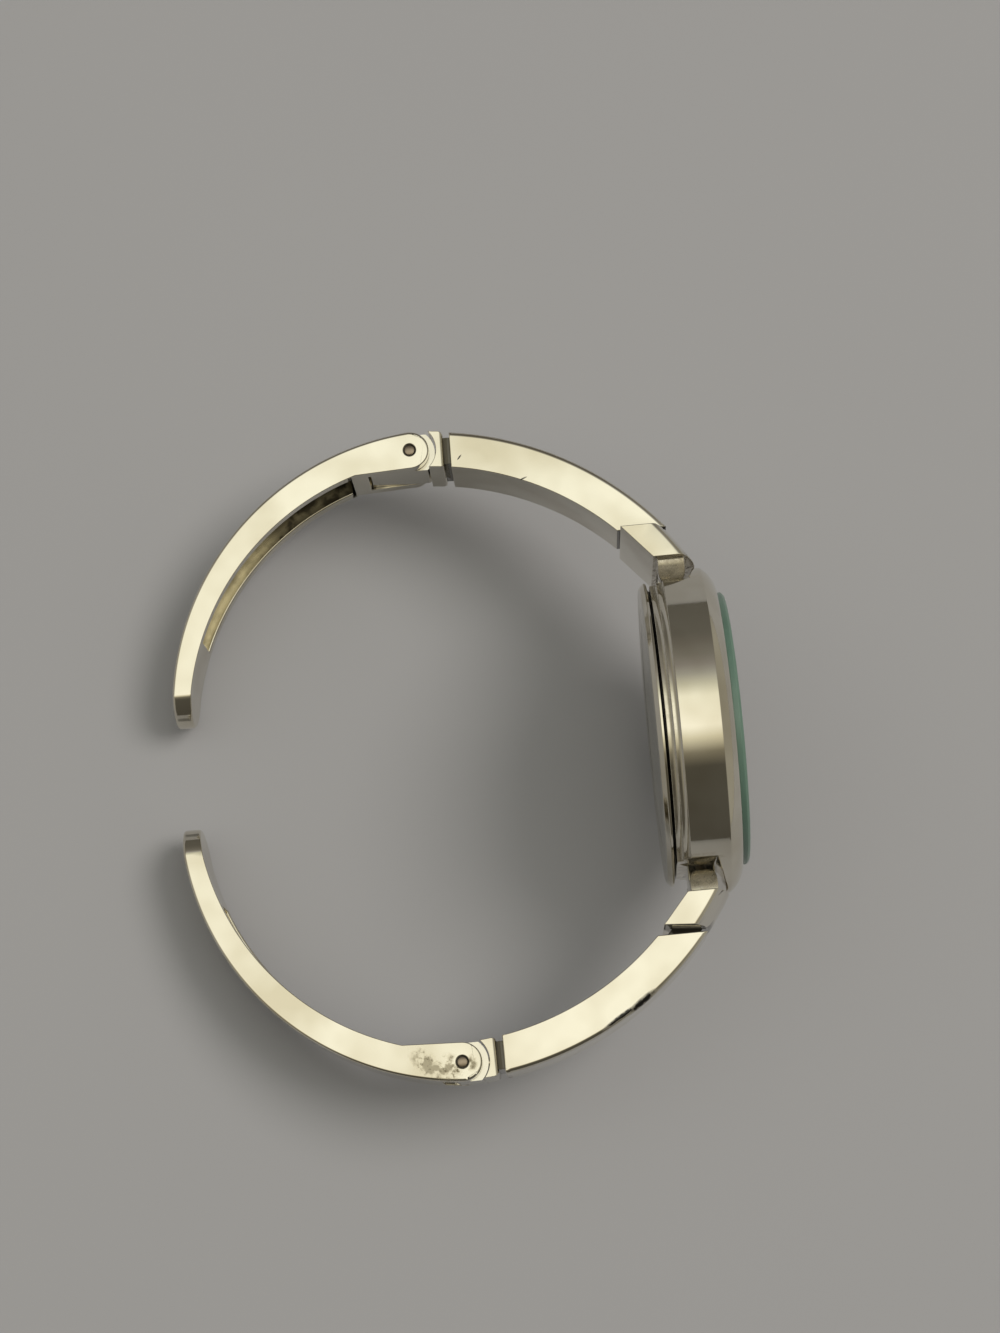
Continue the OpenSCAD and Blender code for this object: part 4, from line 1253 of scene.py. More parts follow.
@dataclass
class DialSide:
    """Dial, minute track, hour bars and hands, all plain."""

    lay: Lay
    finishes: Finishes
    dial_x: float = 0.85
    dial_t: float = 0.4
    dial_r: float = 12.85
    hole_r: float = 0.85
    track: Point = (9.8, 10.0)
    track_d: float = 0.03
    flange_r: float = 12.15
    flange_h: float = 0.6
    bar: tuple[float, float, float] = (2.2, 0.5, 0.1)
    bar_out: float = 11.55
    hour_angle: float = 305.0
    second_angle: float = 210.0

    def build(self) -> None:
        """Makes and dresses the dial side."""
        low, (track_in, track_out), cut = self.dial_x - self.dial_t, self.track, self.dial_x - self.track_d
        dial = [(self.hole_r, low), (self.dial_r, low), (self.dial_r, self.dial_x)]
        dial += [(track_out, self.dial_x), (track_out - 0.04, cut), (track_in + 0.04, cut)]
        dial += [(track_in, self.dial_x), (self.hole_r, self.dial_x)]
        Solid.turned("dial_plate", dial, 256).soften(fine=0.01).dress(
            self.lay, [self.finishes["sunray_silver_dial"]], "root", ["dial"], "silver_dial"
        )
        top = self.dial_x + self.flange_h
        flange = [(self.flange_r, self.dial_x), (self.dial_r, self.dial_x), (self.dial_r, top)]
        flange += [(self.flange_r + 0.25, top), (self.flange_r, top - 0.3)]
        Solid.turned("flange", flange, 256).soften(fine=0.02).dress(
            self.lay, [self.finishes["satin_silver_flange"]], "root", ["flange_ring"], "silver_flange"
        )
        self.hour_bars()
        self.hands()

    def faceted_bar(self) -> Solid:
        """One hour bar with a ridge along it, lying towards 12 o'clock.

        Returns:
            The bar.
        """
        length, width, height = self.bar
        x, out = self.dial_x, self.bar_out
        rings = []
        for y, lift in ((out - length, 0.0), (out - length + 0.2, height), (out - 0.2, height), (out, 0.0)):
            rings.append(
                [
                    Vector((x, y, -width / 2)),
                    Vector((x, y, width / 2)),
                    Vector((x + max(lift * 0.4, 0.01), y, width / 2)),
                    Vector((x + max(lift, 0.012), y, 0)),
                    Vector((x + max(lift * 0.4, 0.01), y, -width / 2)),
                ]
            )
        return Solid.lofted("hour_bars", rings)

    def hour_bars(self) -> None:
        """Repeats the bar round the dial, with a pair of bars at 12 o'clock."""
        bars = self.faceted_bar()
        ring_of(bars.obj, "hour_ring", self.finishes["diamond_cut_steel"], count=12, skip_first=True)
        bars.bake()
        for along in (-0.45, 0.45):
            twin = self.faceted_bar().moved(Matrix.Translation((0, 0, along)))
            bars.combine(Cut.ADD, twin)
        bars.dress(
            self.lay, [self.finishes["diamond_cut_steel"]], "root", ["hour_markers"], "polished_trim"
        )

    def hands(self) -> None:
        """Hour, minute and second hand at the time that the CAD shows."""
        hour, second = self.hour_angle, self.second_angle
        hands = (
            Hand("hour", "hour_hand", 0.97, 6.6, 0.9, 1.4, 1.03, hour),
            Hand("minute", "minute_hand", 1.21, 10.2, 0.7, 1.8, 0.73, 12 * hour),
            Hand("seconds", "second_hand", 1.45, 10.8, 0.2, 3.0, 0.46, second),
        )
        steel = [self.finishes["diamond_cut_steel"]]
        for hand in hands:
            blade = hand.blade().moved(Matrix.Rotation(math.radians(-hand.angle), 4, "X"))
            blade.soften(fine=0.008)
            blade.dress(self.lay, steel, hand.body, [hand.node], "polished_trim")


def ring_of(
    obj: bpy.types.Object, name: str, material: bpy.types.Material, count: int, skip_first: bool
) -> None:
    """Repeats an object's mesh round the X axis with a small geometry node tree.

    Args:
        obj: Object whose mesh is repeated.
        name: Name of the tree.
        material: Material of the result.
        count: Places in a full turn.
        skip_first: True to leave the place towards +Y empty.
    """
    tree = bpy.data.node_groups.new(name, "GeometryNodeTree")
    tree.interface.new_socket("Geometry", in_out="INPUT", socket_type="NodeSocketGeometry")
    places = tree.interface.new_socket("Places", in_out="INPUT", socket_type="NodeSocketInt")
    first = tree.interface.new_socket("First", in_out="INPUT", socket_type="NodeSocketInt")
    tree.interface.new_socket("Geometry", in_out="OUTPUT", socket_type="NodeSocketGeometry")
    given = add_node(tree, "NodeGroupInput")
    places_out, first_out = given.outputs["Places"], given.outputs["First"]
    filled = add_node(tree, "ShaderNodeMath", {0: places_out, 1: first_out}, operation="SUBTRACT")
    dots = add_node(tree, "GeometryNodePoints", {"Count": filled.outputs[0]})
    number = add_node(tree, "GeometryNodeInputIndex")
    place = add_node(tree, "ShaderNodeMath", {0: number.outputs[0], 1: first_out}, operation="ADD")
    part = add_node(tree, "ShaderNodeMath", {0: place.outputs[0], 1: places_out}, operation="DIVIDE")
    angle = add_node(tree, "ShaderNodeMath", {0: part.outputs[0], 1: 2 * math.pi}, operation="MULTIPLY")
    turn = add_node(tree, "ShaderNodeCombineXYZ", {"X": angle.outputs[0]})
    copies = add_node(
        tree,
        "GeometryNodeInstanceOnPoints",
        {"Points": dots.outputs[0], "Instance": given.outputs[0], "Rotation": turn.outputs[0]},
    )
    real = add_node(tree, "GeometryNodeRealizeInstances", {0: copies.outputs[0]})
    dressed = add_node(
        tree, "GeometryNodeSetMaterial", {"Geometry": real.outputs[0], "Material": material}
    )
    add_node(tree, "NodeGroupOutput", {0: dressed.outputs[0]})
    modifier = obj.modifiers.new(name, "NODES")
    modifier.node_group = tree
    modifier[places.identifier] = count
    modifier[first.identifier] = int(skip_first)


def coil_of(name: str, material: bpy.types.Material, sizes: dict[str, float]) -> Solid:
    """A coil spring of round wire along Z, made by a small geometry node tree.

    Args:
        name: Name of the piece.
        material: Material of the wire.
        sizes: Turns, Length, Coil Radius and Wire Radius.

    Returns:
        The spring.
    """
    tree = bpy.data.node_groups.new("coil_spring", "GeometryNodeTree")
    tree.interface.new_socket("Geometry", in_out="INPUT", socket_type="NodeSocketGeometry")
    inputs = {
        size: tree.interface.new_socket(size, in_out="INPUT", socket_type="NodeSocketFloat") for size in sizes
    }
    tree.interface.new_socket("Geometry", in_out="OUTPUT", socket_type="NodeSocketGeometry")
    given = add_node(tree, "NodeGroupInput").outputs
    path = add_node(
        tree,
        "GeometryNodeCurveSpiral",
        {
            "Resolution": 28,
            "Rotations": given["Turns"],
            "Start Radius": given["Coil Radius"],
            "End Radius": given["Coil Radius"],
            "Height": given["Length"],
        },
    )
    wire = add_node(
        tree, "GeometryNodeCurvePrimitiveCircle", {"Resolution": 10, "Radius": given["Wire Radius"]}
    )
    swept = add_node(
        tree,
        "GeometryNodeCurveToMesh",
        {"Curve": path.outputs[0], "Profile Curve": wire.outputs[0], "Fill Caps": True},
    )
    real = add_node(tree, "GeometryNodeRealizeInstances", {0: swept.outputs[0]})
    dressed = add_node(tree, "GeometryNodeSetMaterial", {"Geometry": real.outputs[0], "Material": material})
    add_node(tree, "NodeGroupOutput", {0: dressed.outputs[0]})
    solid = Solid(name, bmesh.new())
    modifier = solid.obj.modifiers.new("coil", "NODES")
    modifier.node_group = tree
    for size, socket in inputs.items():
        modifier[socket.identifier] = float(sizes[size])
    return solid.bake()


@dataclass
class Crown:
    """Fluted crown at 3 o'clock, on the side that lies down."""

    lay: Lay
    finishes: Finishes
    back: float = 1.15
    start: float = 16.75
    length: float = 2.45
    radius: float = 2.1
    flutes: int = 22
    rib_r: float = 0.17
    stem_r: float = 0.45
    well_r: float = 1.05
    well_l: float = 1.1

    def outward(self) -> Matrix:
        """Matrix from a shape turned round X to the crown's axis, which points along -Z."""
        return Matrix.Translation((-self.back, 0, 0)) @ Matrix.Rotation(math.radians(90), 4, "Y")

    def build(self) -> None:
        """Makes the core and its ribs, and dresses them."""
        core_r, end = self.radius - self.rib_r * 0.6, self.start + self.length
        well = self.start + self.well_l
        outline = [(0, well), (self.stem_r, well), (self.well_r, well), (self.well_r, self.start)]
        outline += [(core_r, self.start), (self.radius, self.start + 0.12)]
        outline += [(self.radius, self.start + 0.3), (core_r, self.start + 0.36), (core_r, end - 0.5)]
        outline += [(self.radius - 0.05, end - 0.4), (self.radius - 0.02, end - 0.3)]
        outline += [(self.radius - 0.3, end), (1.2, end), (1.1, end - 0.04), (0, end - 0.04)]
        core = Solid.turned("fluted_crown", outline, 132).soften(fine=0.04)
        low, high = self.start + 0.3, end - 0.42
        rib_y = self.radius - self.rib_r
        ring = arc_points((0, rib_y), self.rib_r, 0, 360, 12)[:-1]
        rib = Solid.lofted("rib", [[Vector((x, y, z)) for z, y in ring] for x in (low, high)])
        for face in rib.obj.data.polygons:
            face.use_smooth = len(face.vertices) == 4
        steel = self.finishes["polished_hinge_steel"]
        ring_of(rib.obj, "crown_ribs", steel, count=self.flutes, skip_first=False)
        core.combine(Cut.ADD, rib.bake())
        core.moved(self.outward())
        core.dress(self.lay, [steel], "crown_set", ["crown"], "crown_steel")


# Bracelet


@dataclass(frozen=True)
class BowGeometry:
    """Circles, stations and widths that the links share."""

    centre_x: float = -27.2
    outer_r: float = 33.3
    thick: float = 3.8
    width: float = 8.0
    edge_r: float = 0.5
    hinge_angle: float = 89.0
    seam_y: float = 20.1
    seam_gap: float = 0.65
    seam_rake: float = 0.35
    tongue_w: float = 4.8
    tongue_r: float = 1.25
    tongue_y: float = 22.05

    @property
    def inner_r(self) -> float:
        """Radius of the links' inner face."""
        return self.outer_r - self.thick

    @property
    def mid_r(self) -> float:
        """Radius of the links' middle circle."""
        return self.outer_r - self.thick / 2

    @property
    def hinge(self) -> Point:
        """X and Y of the hinge pin."""
        a = math.radians(self.hinge_angle)
        return self.mid_r * math.cos(a) + self.centre_x, self.mid_r * math.sin(a)

    @property
    def tongue(self) -> Point:
        """X and Y of the tongue pin."""
        return math.sqrt(self.mid_r**2 - self.tongue_y**2) + self.centre_x, self.tongue_y

    def at_hinge(self) -> Matrix:
        """Matrix from the hinge's own axes, x towards the watch, y outwards.

        Returns:
            The matrix.
        """
        x, y = self.hinge
        turn = Matrix.Rotation(math.radians(self.hinge_angle - 90), 4, "Z")
        return Matrix.Translation((x, y, 0)) @ turn

    def strip(self, name: str, start: float, end: float, r_in: float, r_out: float, width: float) -> Solid:
        """A bar of rectangular section bent round the links' centre.

        Args:
            name: Name of the piece.
            start: First angle in degrees.
            end: Last angle in degrees.
            r_in: Inner radius.
            r_out: Outer radius.
            width: Size along Z.

        Returns:
            The solid.
        """
        steps = max(2, round(abs(end - start)))
        rings = []
        for i in range(steps + 1):
            a = math.radians(start + (end - start) * i / steps)
            corners = ((r_in, -1), (r_out, -1), (r_out, 1), (r_in, 1))
            rings.append(
                [
                    Vector((self.centre_x + r * math.cos(a), r * math.sin(a), s * width / 2))
                    for r, s in corners
                ]
            )
        return Solid.lofted(name, rings)

    def edge_width(self, low: Vector, high: Vector) -> float:
        """Rounding of the long edges of the outer face, and 0 for any other edge.

        Args:
            low: One end of the edge.
            high: Its other end.

        Returns:
            The bevel's width.
        """
        is_outer = all(
            abs(math.hypot(p.x - self.centre_x, p.y) - self.outer_r) < 0.02
            and abs(abs(p.z) - self.width / 2) < 0.02
            for p in (low, high)
        )
        return self.edge_r if is_outer else 0.0


@dataclass
class EndLink:
    """Crowned end link, forked round the lug tab, with a tongue into the arc link."""

    lay: Lay
    finishes: Finishes
    bow: BowGeometry
    width: float = 14.0
    across_r: float = 21.0
    edge_r: float = 0.55
    start_y: float = 17.0
    back_x: float = -2.95
    lug: Point = (-1.2, 15.75)
    barrel_r: float = 1.35
    barrel_w: float = 11.6
    barrel_round: float = 2.6
    lug_w: float = 4.8
    shut: float = 0.4
    bar: Point = (24.0, 48.0)
    bar_low_r: float = 18.0

    def crowned(self) -> Solid:
        """The outer face bulges across its width and follows the bracelet's circle.

        Returns:
            A bar with that face, longer than the link.
        """
        rings = []
        half, edge = self.width / 2, self.edge_r
        low, across = self.bow.outer_r - self.across_r, self.across_r
        lean = math.asin((half - edge) / (across - edge))
        crown = arc_points((low, 0.0), across, -math.degrees(lean), math.degrees(lean), 24)
        corner = (low + (across - edge) * math.cos(lean), half - edge)
        rounding = arc_points(corner, edge, math.degrees(lean), 88, 6)[1:]
        crown = [(r, -z) for r, z in reversed(rounding)] + crown + rounding
        start, end = self.bar
        for i in range(17):
            a = math.radians(start + (end - start) * i / 16)
            ring = [Vector((self.bar_low_r, 0.0, half)), Vector((self.bar_low_r, 0.0, -half))]
            ring += [Vector((r, 0.0, z)) for r, z in crown]
            turn = Matrix.Translation((self.bow.centre_x, 0, 0)) @ Matrix.Rotation(a, 4, "Z")
            rings.append([turn @ p for p in ring])
        return Solid.lofted("end_link", rings)

    def outline(self, side: Side) -> Solid:
        """The link's outline, seen along the pins; the 12 o'clock seam is nearly shut.

        Args:
            side: Half of the bracelet.

        Returns:
            The prism that cuts it out.
        """
        bow = self.bow
        seam = bow.seam_y + (self.shut if side is Side.TWELVE else 0.0)
        seam_out = seam + (0.0 if side is Side.TWELVE else bow.seam_rake)
        top = math.sqrt(bow.outer_r**2 - seam**2) + bow.centre_x
        low = math.sqrt(bow.inner_r**2 - seam**2) + bow.centre_x
        front = self.bow.outer_r + self.bow.centre_x + 1
        points = [(self.back_x, self.start_y), (front, self.start_y), (front, seam_out), (top, seam_out)]
        return Solid.prism("outline", [*points, (low, seam)], -self.width, self.width)

    def barrel(self) -> Solid:
        """The round knuckle and the web behind it, with ends that curve in towards the case.

        Returns:
            The solid.
        """
        x, y = self.lug
        r, half, base = self.barrel_r, self.barrel_w / 2, self.start_y + 0.15
        knuckle = Solid.rod("knuckle", self.lug, r, -half, half, 96)
        knuckle.combine(Cut.ADD, Solid.block("web", (x - r, y, -half), (x + r, base, half)))
        corner = half - self.barrel_round
        low = arc_points((base, corner), self.barrel_round, 180, 90, 12)
        outline = [(y0, -z0) for y0, z0 in reversed(low)] + low
        rings = [[Vector((x0, y0, z0)) for y0, z0 in outline] for x0 in (x - 3, x + 3)]
        return knuckle.combine(Cut.KEEP_COMMON, Solid.lofted("rounded", rings))

    def tongue(self) -> Solid:
        """The round-ended tongue that the arc link holds.

        Returns:
            The tongue.
        """
        bow = self.bow
        end = math.degrees(math.asin(bow.tongue_y / bow.mid_r))
        start = math.degrees(math.asin((bow.seam_y - 0.5) / bow.mid_r)) - 1.0
        bar = bow.strip(
            "tongue", start, end, bow.mid_r - bow.tongue_r, bow.mid_r + bow.tongue_r, bow.tongue_w
        )
        half = bow.tongue_w / 2
        return bar.combine(Cut.ADD, Solid.rod("tip", bow.tongue, bow.tongue_r, -half, half, 64))

    def build(self, side: Side) -> None:
        """Makes, cuts and dresses the link.

        Args:
            side: Half of the bracelet.
        """
        x, y = self.lug
        clear, half = self.barrel_r + 0.15, self.lug_w / 2 + 0.1
        link = self.crowned().combine(Cut.KEEP_COMMON, self.outline(side))
        link.combine(Cut.ADD, self.barrel(), self.tongue())
        link.combine(
            Cut.TAKE_AWAY,
            Solid.rod("fork_round", self.lug, clear, -half, half),
            Solid.block("fork_mouth", (x - clear, 14.0, -half), (x + clear, y, half)),
        )
        link.obj.name = side.node("end_block")
        link.soften(fine=0.08).moved(side.mirrored())
        # Dirt and painted shade on the faces that look into the notch
        link.paint("dirt", lambda p: 0.45 if abs(p.y) < self.start_y + 0.01 else 0.0)
        link.paint("gap", self.gap_at)
        steel = [self.finishes["plated_polished_steel"]]
        link.dress(self.lay, steel, side.node("end"), [side.node("end_link")], "polished_steel")

    def gap_at(self, p: Vector) -> float:
        """No light reaches the seam's face and the tongue in it.

        Args:
            p: A point of the link.

        Returns:
            Strength from 0 to 1.
        """
        behind = abs(p.y) > self.bow.seam_y + 0.02 and abs(p.z) < self.bow.width / 2 - 0.2
        return 0.9 if behind or abs(p.y) > self.bow.seam_y + 0.45 else 0.0


@dataclass
class ArcLink:
    """Fixed bow between the end link and the sprung hinge."""

    lay: Lay
    finishes: Finishes
    bow: BowGeometry
    end_x: float = 4.15
    channel_r: float = 1.15
    channel_l: float = 6.5
    collar_end: float = 3.5
    neck_inset: float = 0.5
    neck_sink: float = 0.275
    nose_clear: float = 2.7
    stem_hole_r: float = 0.55
    tongue_play: float = 0.16
    slot_start: float = 34.0
    spring_z: Point = (0.95, 4.35)
    spring_r: float = 1.1
    spring_wire: float = 0.13
    spring_turns: float = 6.5
    slide: float = 1.2

    def at_channel(self) -> Matrix:
        """Matrix from the spring channel's axes, z into the link.

        Returns:
            The matrix.
        """
        mid = self.bow.mid_r
        sink = mid - math.sqrt(mid**2 - self.end_x**2)
        slope = math.asin((self.end_x + self.channel_l / 2) / mid)
        start = Matrix.Translation((self.end_x, -sink, 0))
        turn = Matrix.Rotation(-slope, 4, "Z") @ Matrix.Rotation(math.radians(90), 4, "Y")
        return self.bow.at_hinge() @ start @ turn

    def build(self, side: Side) -> None:
        """Makes and dresses the link, its collar and its spring.

        Args:
            side: Half of the bracelet.
        """
        bow = self.bow
        outline: list[Point] = []
        for r in (bow.outer_r, bow.inner_r):
            first = bow.hinge_angle - math.degrees(math.asin(self.end_x / r))
            last = math.degrees(math.asin((bow.seam_y + bow.seam_gap) / r))
            outline = arc_points((bow.centre_x, 0.0), r, first, last, 44) + outline[::-1]
        link = Solid.prism("arc_link", outline, -bow.width / 2, bow.width / 2)
        link.combine(
            Cut.TAKE_AWAY,
            Solid.rod("channel", (0, 0), self.channel_r, -1, self.channel_l).moved(self.at_channel()),
            self.slot(),
        )
        link.obj.name = side.node("bow_link")
        link.soften(fine=0.1, width_at=bow.edge_width).moved(side.mirrored())
        link.paint("gap", self.gap_at)
        steel = [self.finishes["plated_polished_steel"]]
        link.dress(self.lay, steel, side.node("arc"), [side.node("arc_link")], "polished_steel")
        self.collar(side)
        self.return_spring(side)

    def return_spring(self, side: Side) -> None:
        """The coil round the slider's stem, which the nut squeezes as the arm swings.

        Args:
            side: Half of the bracelet.
        """
        start, end = self.spring_z
        wire = self.spring_wire
        sizes = {"Turns": self.spring_turns, "Length": end - start - 2 * wire}
        sizes |= {"Coil Radius": self.spring_r - wire, "Wire Radius": wire}
        steel = self.finishes["drawn_spring_steel"]
        spring = coil_of(side.node("return_spring"), steel, sizes)
        spring.moved(Matrix.Translation((0, 0, start + wire))).moved(self.at_channel()).moved(side.mirrored())
        spring.dress(self.lay, [steel], side.node("arc"), [side.node("slider_spring")], "spring_steel")
        place = self.lay.matrix @ side.mirrored() @ self.at_channel()
        anchor, far = place @ Vector((0, 0, start)), place @ Vector((0, 0, end))
        keep = (end - start - self.slide) / (end - start)
        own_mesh(spring.obj, side.node("swing"), axis=tuple(far - anchor), anchor=tuple(anchor), keep=keep)

    def slot(self) -> Solid:
        """Slot for the end link's tongue.

        Returns:
            The cutter.
        """
        bow = self.bow
        r, half = bow.tongue_r + self.tongue_play, bow.tongue_w / 2 + 0.1
        end = math.degrees(math.asin(bow.tongue_y / bow.mid_r))
        bar = bow.strip("slot", self.slot_start, end, bow.mid_r - r, bow.mid_r + r, 2 * half)
        return bar.combine(Cut.ADD, Solid.rod("slot_end", bow.tongue, r, -half, half, 64))

    def collar(self, side: Side) -> None:
        """The block with a hollow face that the slider's nose rests in.

        Args:
            side: Half of the bracelet.
        """
        bow = self.bow
        inset, sink, half = self.neck_inset, self.neck_sink, bow.width / 2
        across = [self.collar_end * i / 5 for i in range(6)]
        outer = [(x, math.sqrt(bow.outer_r**2 - x**2) - bow.mid_r) for x in across]
        inner = [(x, math.sqrt(bow.inner_r**2 - x**2) - bow.mid_r) for x in across]
        block = Solid.prism("collar", inner + outer[::-1], -half, half).moved(bow.at_hinge())
        neck = Solid.block(
            "neck",
            (self.collar_end - 0.35, inset - bow.thick / 2 - sink, inset - half),
            (self.end_x, bow.thick / 2 - inset - sink, half - inset),
        )
        block.combine(Cut.ADD, neck.moved(bow.at_hinge()))
        block.combine(
            Cut.TAKE_AWAY,
            Solid.rod("hollow", (0, 0), self.nose_clear, -9, 9, 128).moved(bow.at_hinge()),
            Solid.rod("stem_hole", (0, 0), self.stem_hole_r, -8, 8, 48).moved(self.at_channel()),
        )
        block.obj.name = side.node("collar_block")
        block.soften(fine=0.07, width_at=self.collar_edge)
        # Painted shade on the sunk neck
        block.paint("gap", self.neck_shade_at).moved(side.mirrored())
        steel = [self.finishes["plated_polished_steel"]]
        block.dress(self.lay, steel, side.node("arc"), [side.node("hinge_collar")], "hinge_steel")

    def collar_edge(self, low: Vector, high: Vector) -> float:
        """Rounding of the collar's far edges, and 0 for any other edge.

        Args:
            low: One end of the edge.
            high: Its other end.

        Returns:
            The bevel's width.
        """
        to_hinge = self.bow.at_hinge().inverted()
        is_far = all(abs((to_hinge @ p).x - self.collar_end) < 0.02 for p in (low, high))
        return 0.45 if is_far else 0.0

    def neck_shade_at(self, p: Vector) -> float:
        """Painted shade on the sunk neck behind the collar.

        Args:
            p: A point of the collar.

        Returns:
            Strength from 0 to 1.
        """
        local = self.bow.at_hinge().inverted() @ p
        high = self.bow.thick / 2 - self.neck_inset + 0.02
        wide = self.bow.width / 2 - self.neck_inset + 0.02
        sunk = abs(local.z) < wide and abs(local.y + self.neck_sink) < high
        return 0.8 if local.x > self.collar_end - 0.02 and sunk else 0.0

    def gap_at(self, p: Vector) -> float:
        """No light reaches the seam's face and the slot behind it.

        Args:
            p: A point of the link.

        Returns:
            Strength from 0 to 1.
        """
        near = abs(p.y) < self.bow.seam_y + self.bow.seam_gap + 0.03
        return 0.9 if near and abs(p.z) < self.bow.width / 2 - 0.05 else 0.0


@dataclass
class CuffArm:
    """Sprung arm: a tapering bow with a forked root, a hollow back and a round tip."""

    lay: Lay
    finishes: Finishes
    bow: BowGeometry
    outer_r: float = 28.3
    forward: float = 1.95
    root_t: float = 3.05
    flare_from: float = 107.0
    tip_t: float = 1.75
    tip_w: float = 7.4
    tip_y: float = 5.3
    tip_round: float = 3.85
    ear_r: float = 1.95
    edge_r: float = 0.35
    fine_r: float = 0.09
    rim_edge_r: float = 0.2
    ear_end: float = -87.0
    # Angles in degrees at which the pocket's film and painted shade are full, and where they end
    film: Point = (129.0, 137.0)
    cutter_r: float = 18.0
    fork_w: float = 5.3
    fork_d: float = 4.5
    nose_r: float = 2.55
    pocket: tuple[float, float, float, float] = (109, 161, 5.2, 0.9)
    pin_r: float = 0.5
    recess: Point = (0.65, 0.35)

    @property
    def centre(self) -> Point:
        """Centre of the outer circle, which runs smoothly into the ear's."""
        x, y = self.bow.hinge
        return x + self.forward, y - math.sqrt((self.outer_r - self.ear_r) ** 2 - self.forward**2)

    @property
    def contact(self) -> float:
        """Angle in degrees at which the outer circle meets the ear's.

        Returns:
            The angle.
        """
        cx, cy = self.centre
        x, y = self.bow.hinge
        return math.degrees(math.atan2(y - cy, x - cx))

    @property
    def tip_side(self) -> float:
        """Angle in radians from the tip's middle to where its sides begin."""
        return math.asin(self.tip_w / 2 / self.tip_round)

    def turn_at(self, y: float, centre_y: float, r: float) -> float:
        """Angle in degrees at which a circle is at a height Y, on its far side."""
        return 180 - math.degrees(math.asin((y - centre_y) / r))

    def tip_y_at(self, angle: float) -> float:
        """Y of the tip's round outline, at an angle from its middle in radians."""
        return self.tip_y + self.tip_round * (1 - math.cos(angle))

    def profile(self) -> list[Point]:
        """The arm's outline seen along the hinge pin, from the ear round to the ear again.

        Returns:
            Its (x, y) points.
        """
        cx, cy = self.centre
        hx, hy = self.bow.hinge
        sunk = (cx, cy - self.root_t + self.tip_t)
        r_in = self.outer_r - self.tip_t
        high, low = self.tip_y_at(self.tip_side) + 0.4, self.tip_y - 1.0
        high_out, low_out = self.turn_at(high, cy, self.outer_r), self.turn_at(low, cy, self.outer_r)
        high_in, low_in = self.turn_at(high, sunk[1], r_in), self.turn_at(low, sunk[1], r_in)
        outer = arc_points(self.centre, self.outer_r, self.contact, high_out, 84)
        outer += arc_points(self.centre, self.outer_r, high_out, low_out, 1)[1:]
        inner = arc_points(sunk, r_in, low_in, high_in, 1)[:1]
        inner += arc_points(sunk, r_in, high_in, self.flare_from, 70)
        x, y = inner[-1]
        turn = math.degrees(math.atan2(y - hy, x - hx) + math.acos(self.ear_r / math.hypot(x - hx, y - hy)))
        return outer + inner + arc_points((hx, hy), self.ear_r, turn, self.contact, 60)[:-1]

    def sides(self) -> Solid:
        """The arm's outline seen from outside: straight tapering sides and a round tip.

        Returns:
            The block that cuts it out.
        """
        turns = [self.tip_side * (1 - i / 18) for i in range(37)]
        outline = [(self.tip_y_at(a), self.tip_round * math.sin(a)) for a in turns]
        far = self.bow.hinge[1] + self.ear_r + 1
        outline = [(far, self.bow.width / 2), *outline, (far, -self.bow.width / 2)]
        return Solid.lofted("sides", [[Vector((x, y, z)) for y, z in outline] for x in (-60, -20)])

    def half_width(self, y: float) -> float:
        """Half the arm's width along its straight sides.

        Args:
            y: Distance from the bracelet's middle line.

        Returns:
            The half width.
        """
        start = self.tip_y_at(self.tip_side)
        far = self.bow.hinge[1] + self.ear_r + 1
        return self.tip_w / 2 + (y - start) / (far - start) * (self.bow.width - self.tip_w) / 2

    def hollow(self) -> Solid:
        """Cutter for the long pocket in the arm's back.

        Returns:
            The cutter.
        """
        start, end, width, wall = self.pocket
        cx, cy = self.centre
        rings = []
        for i in range(53):
            a = math.radians(start + (end - start) * i / 52)
            ring = []
            floor_r = self.outer_r - wall
            for r, s in ((self.cutter_r, -1), (floor_r, -1), (floor_r, 1), (self.cutter_r, 1)):
                ring.append(Vector((cx + r * math.cos(a), cy + r * math.sin(a), s * width / 2)))
            rings.append(ring)
        return Solid.lofted("pocket", rings)

    def edge_width(self, low: Vector, high: Vector) -> float:
        """Rounding of the outer face's long edges, the tip, the ear and the pocket's rim.

        It fades along the ear and round the tip, so that the rounded edge ends without a step.

        Args:
            low: One end of the edge.
            high: Its other end.

        Returns:
            The bevel's width, 0 for any other edge.
        """
        cx, cy = self.centre
        is_outer = all(
            abs(math.hypot(p.x - cx, p.y - cy) - self.outer_r) < 0.05
            and abs(abs(p.z) - self.half_width(p.y)) < 0.03
            for p in (low, high)
        )
        if is_outer:
            return self.edge_r
        turns = [math.asin(min(1.0, abs(p.z) / self.tip_round)) for p in (low, high)]
        if all(abs(p.y - self.tip_y_at(a)) < 0.03 for p, a in zip((low, high), turns)):
            if math.hypot(low.x - cx, low.y - cy) > self.outer_r - 0.2:
                return self.edge_r
            return self.fine_r + (self.edge_r - self.fine_r) * (1 - sum(turns) / 2 / self.tip_side)
        hx, hy = self.bow.hinge
        is_ear = all(
            abs(math.hypot(p.x - hx, p.y - hy) - self.ear_r) < 0.02 and abs(p.z) > self.bow.width / 2 - 0.5
            for p in (low, high)
        )
        if is_ear:
            turn = math.degrees(math.atan2((low.y + high.y) / 2 - hy, (low.x + high.x) / 2 - hx))
            share = (turn - self.ear_end) / (self.contact - self.ear_end)
            return self.fine_r + (self.edge_r - self.fine_r) * share
        rim, floor_r = self.pocket[2] / 2, self.outer_r - self.pocket[3] - 0.1
        is_rim = all(
            abs(abs(p.z) - rim) < 0.01 and math.hypot(p.x - cx, p.y - cy) < floor_r for p in (low, high)
        )
        return self.rim_edge_r if is_rim else 0.0

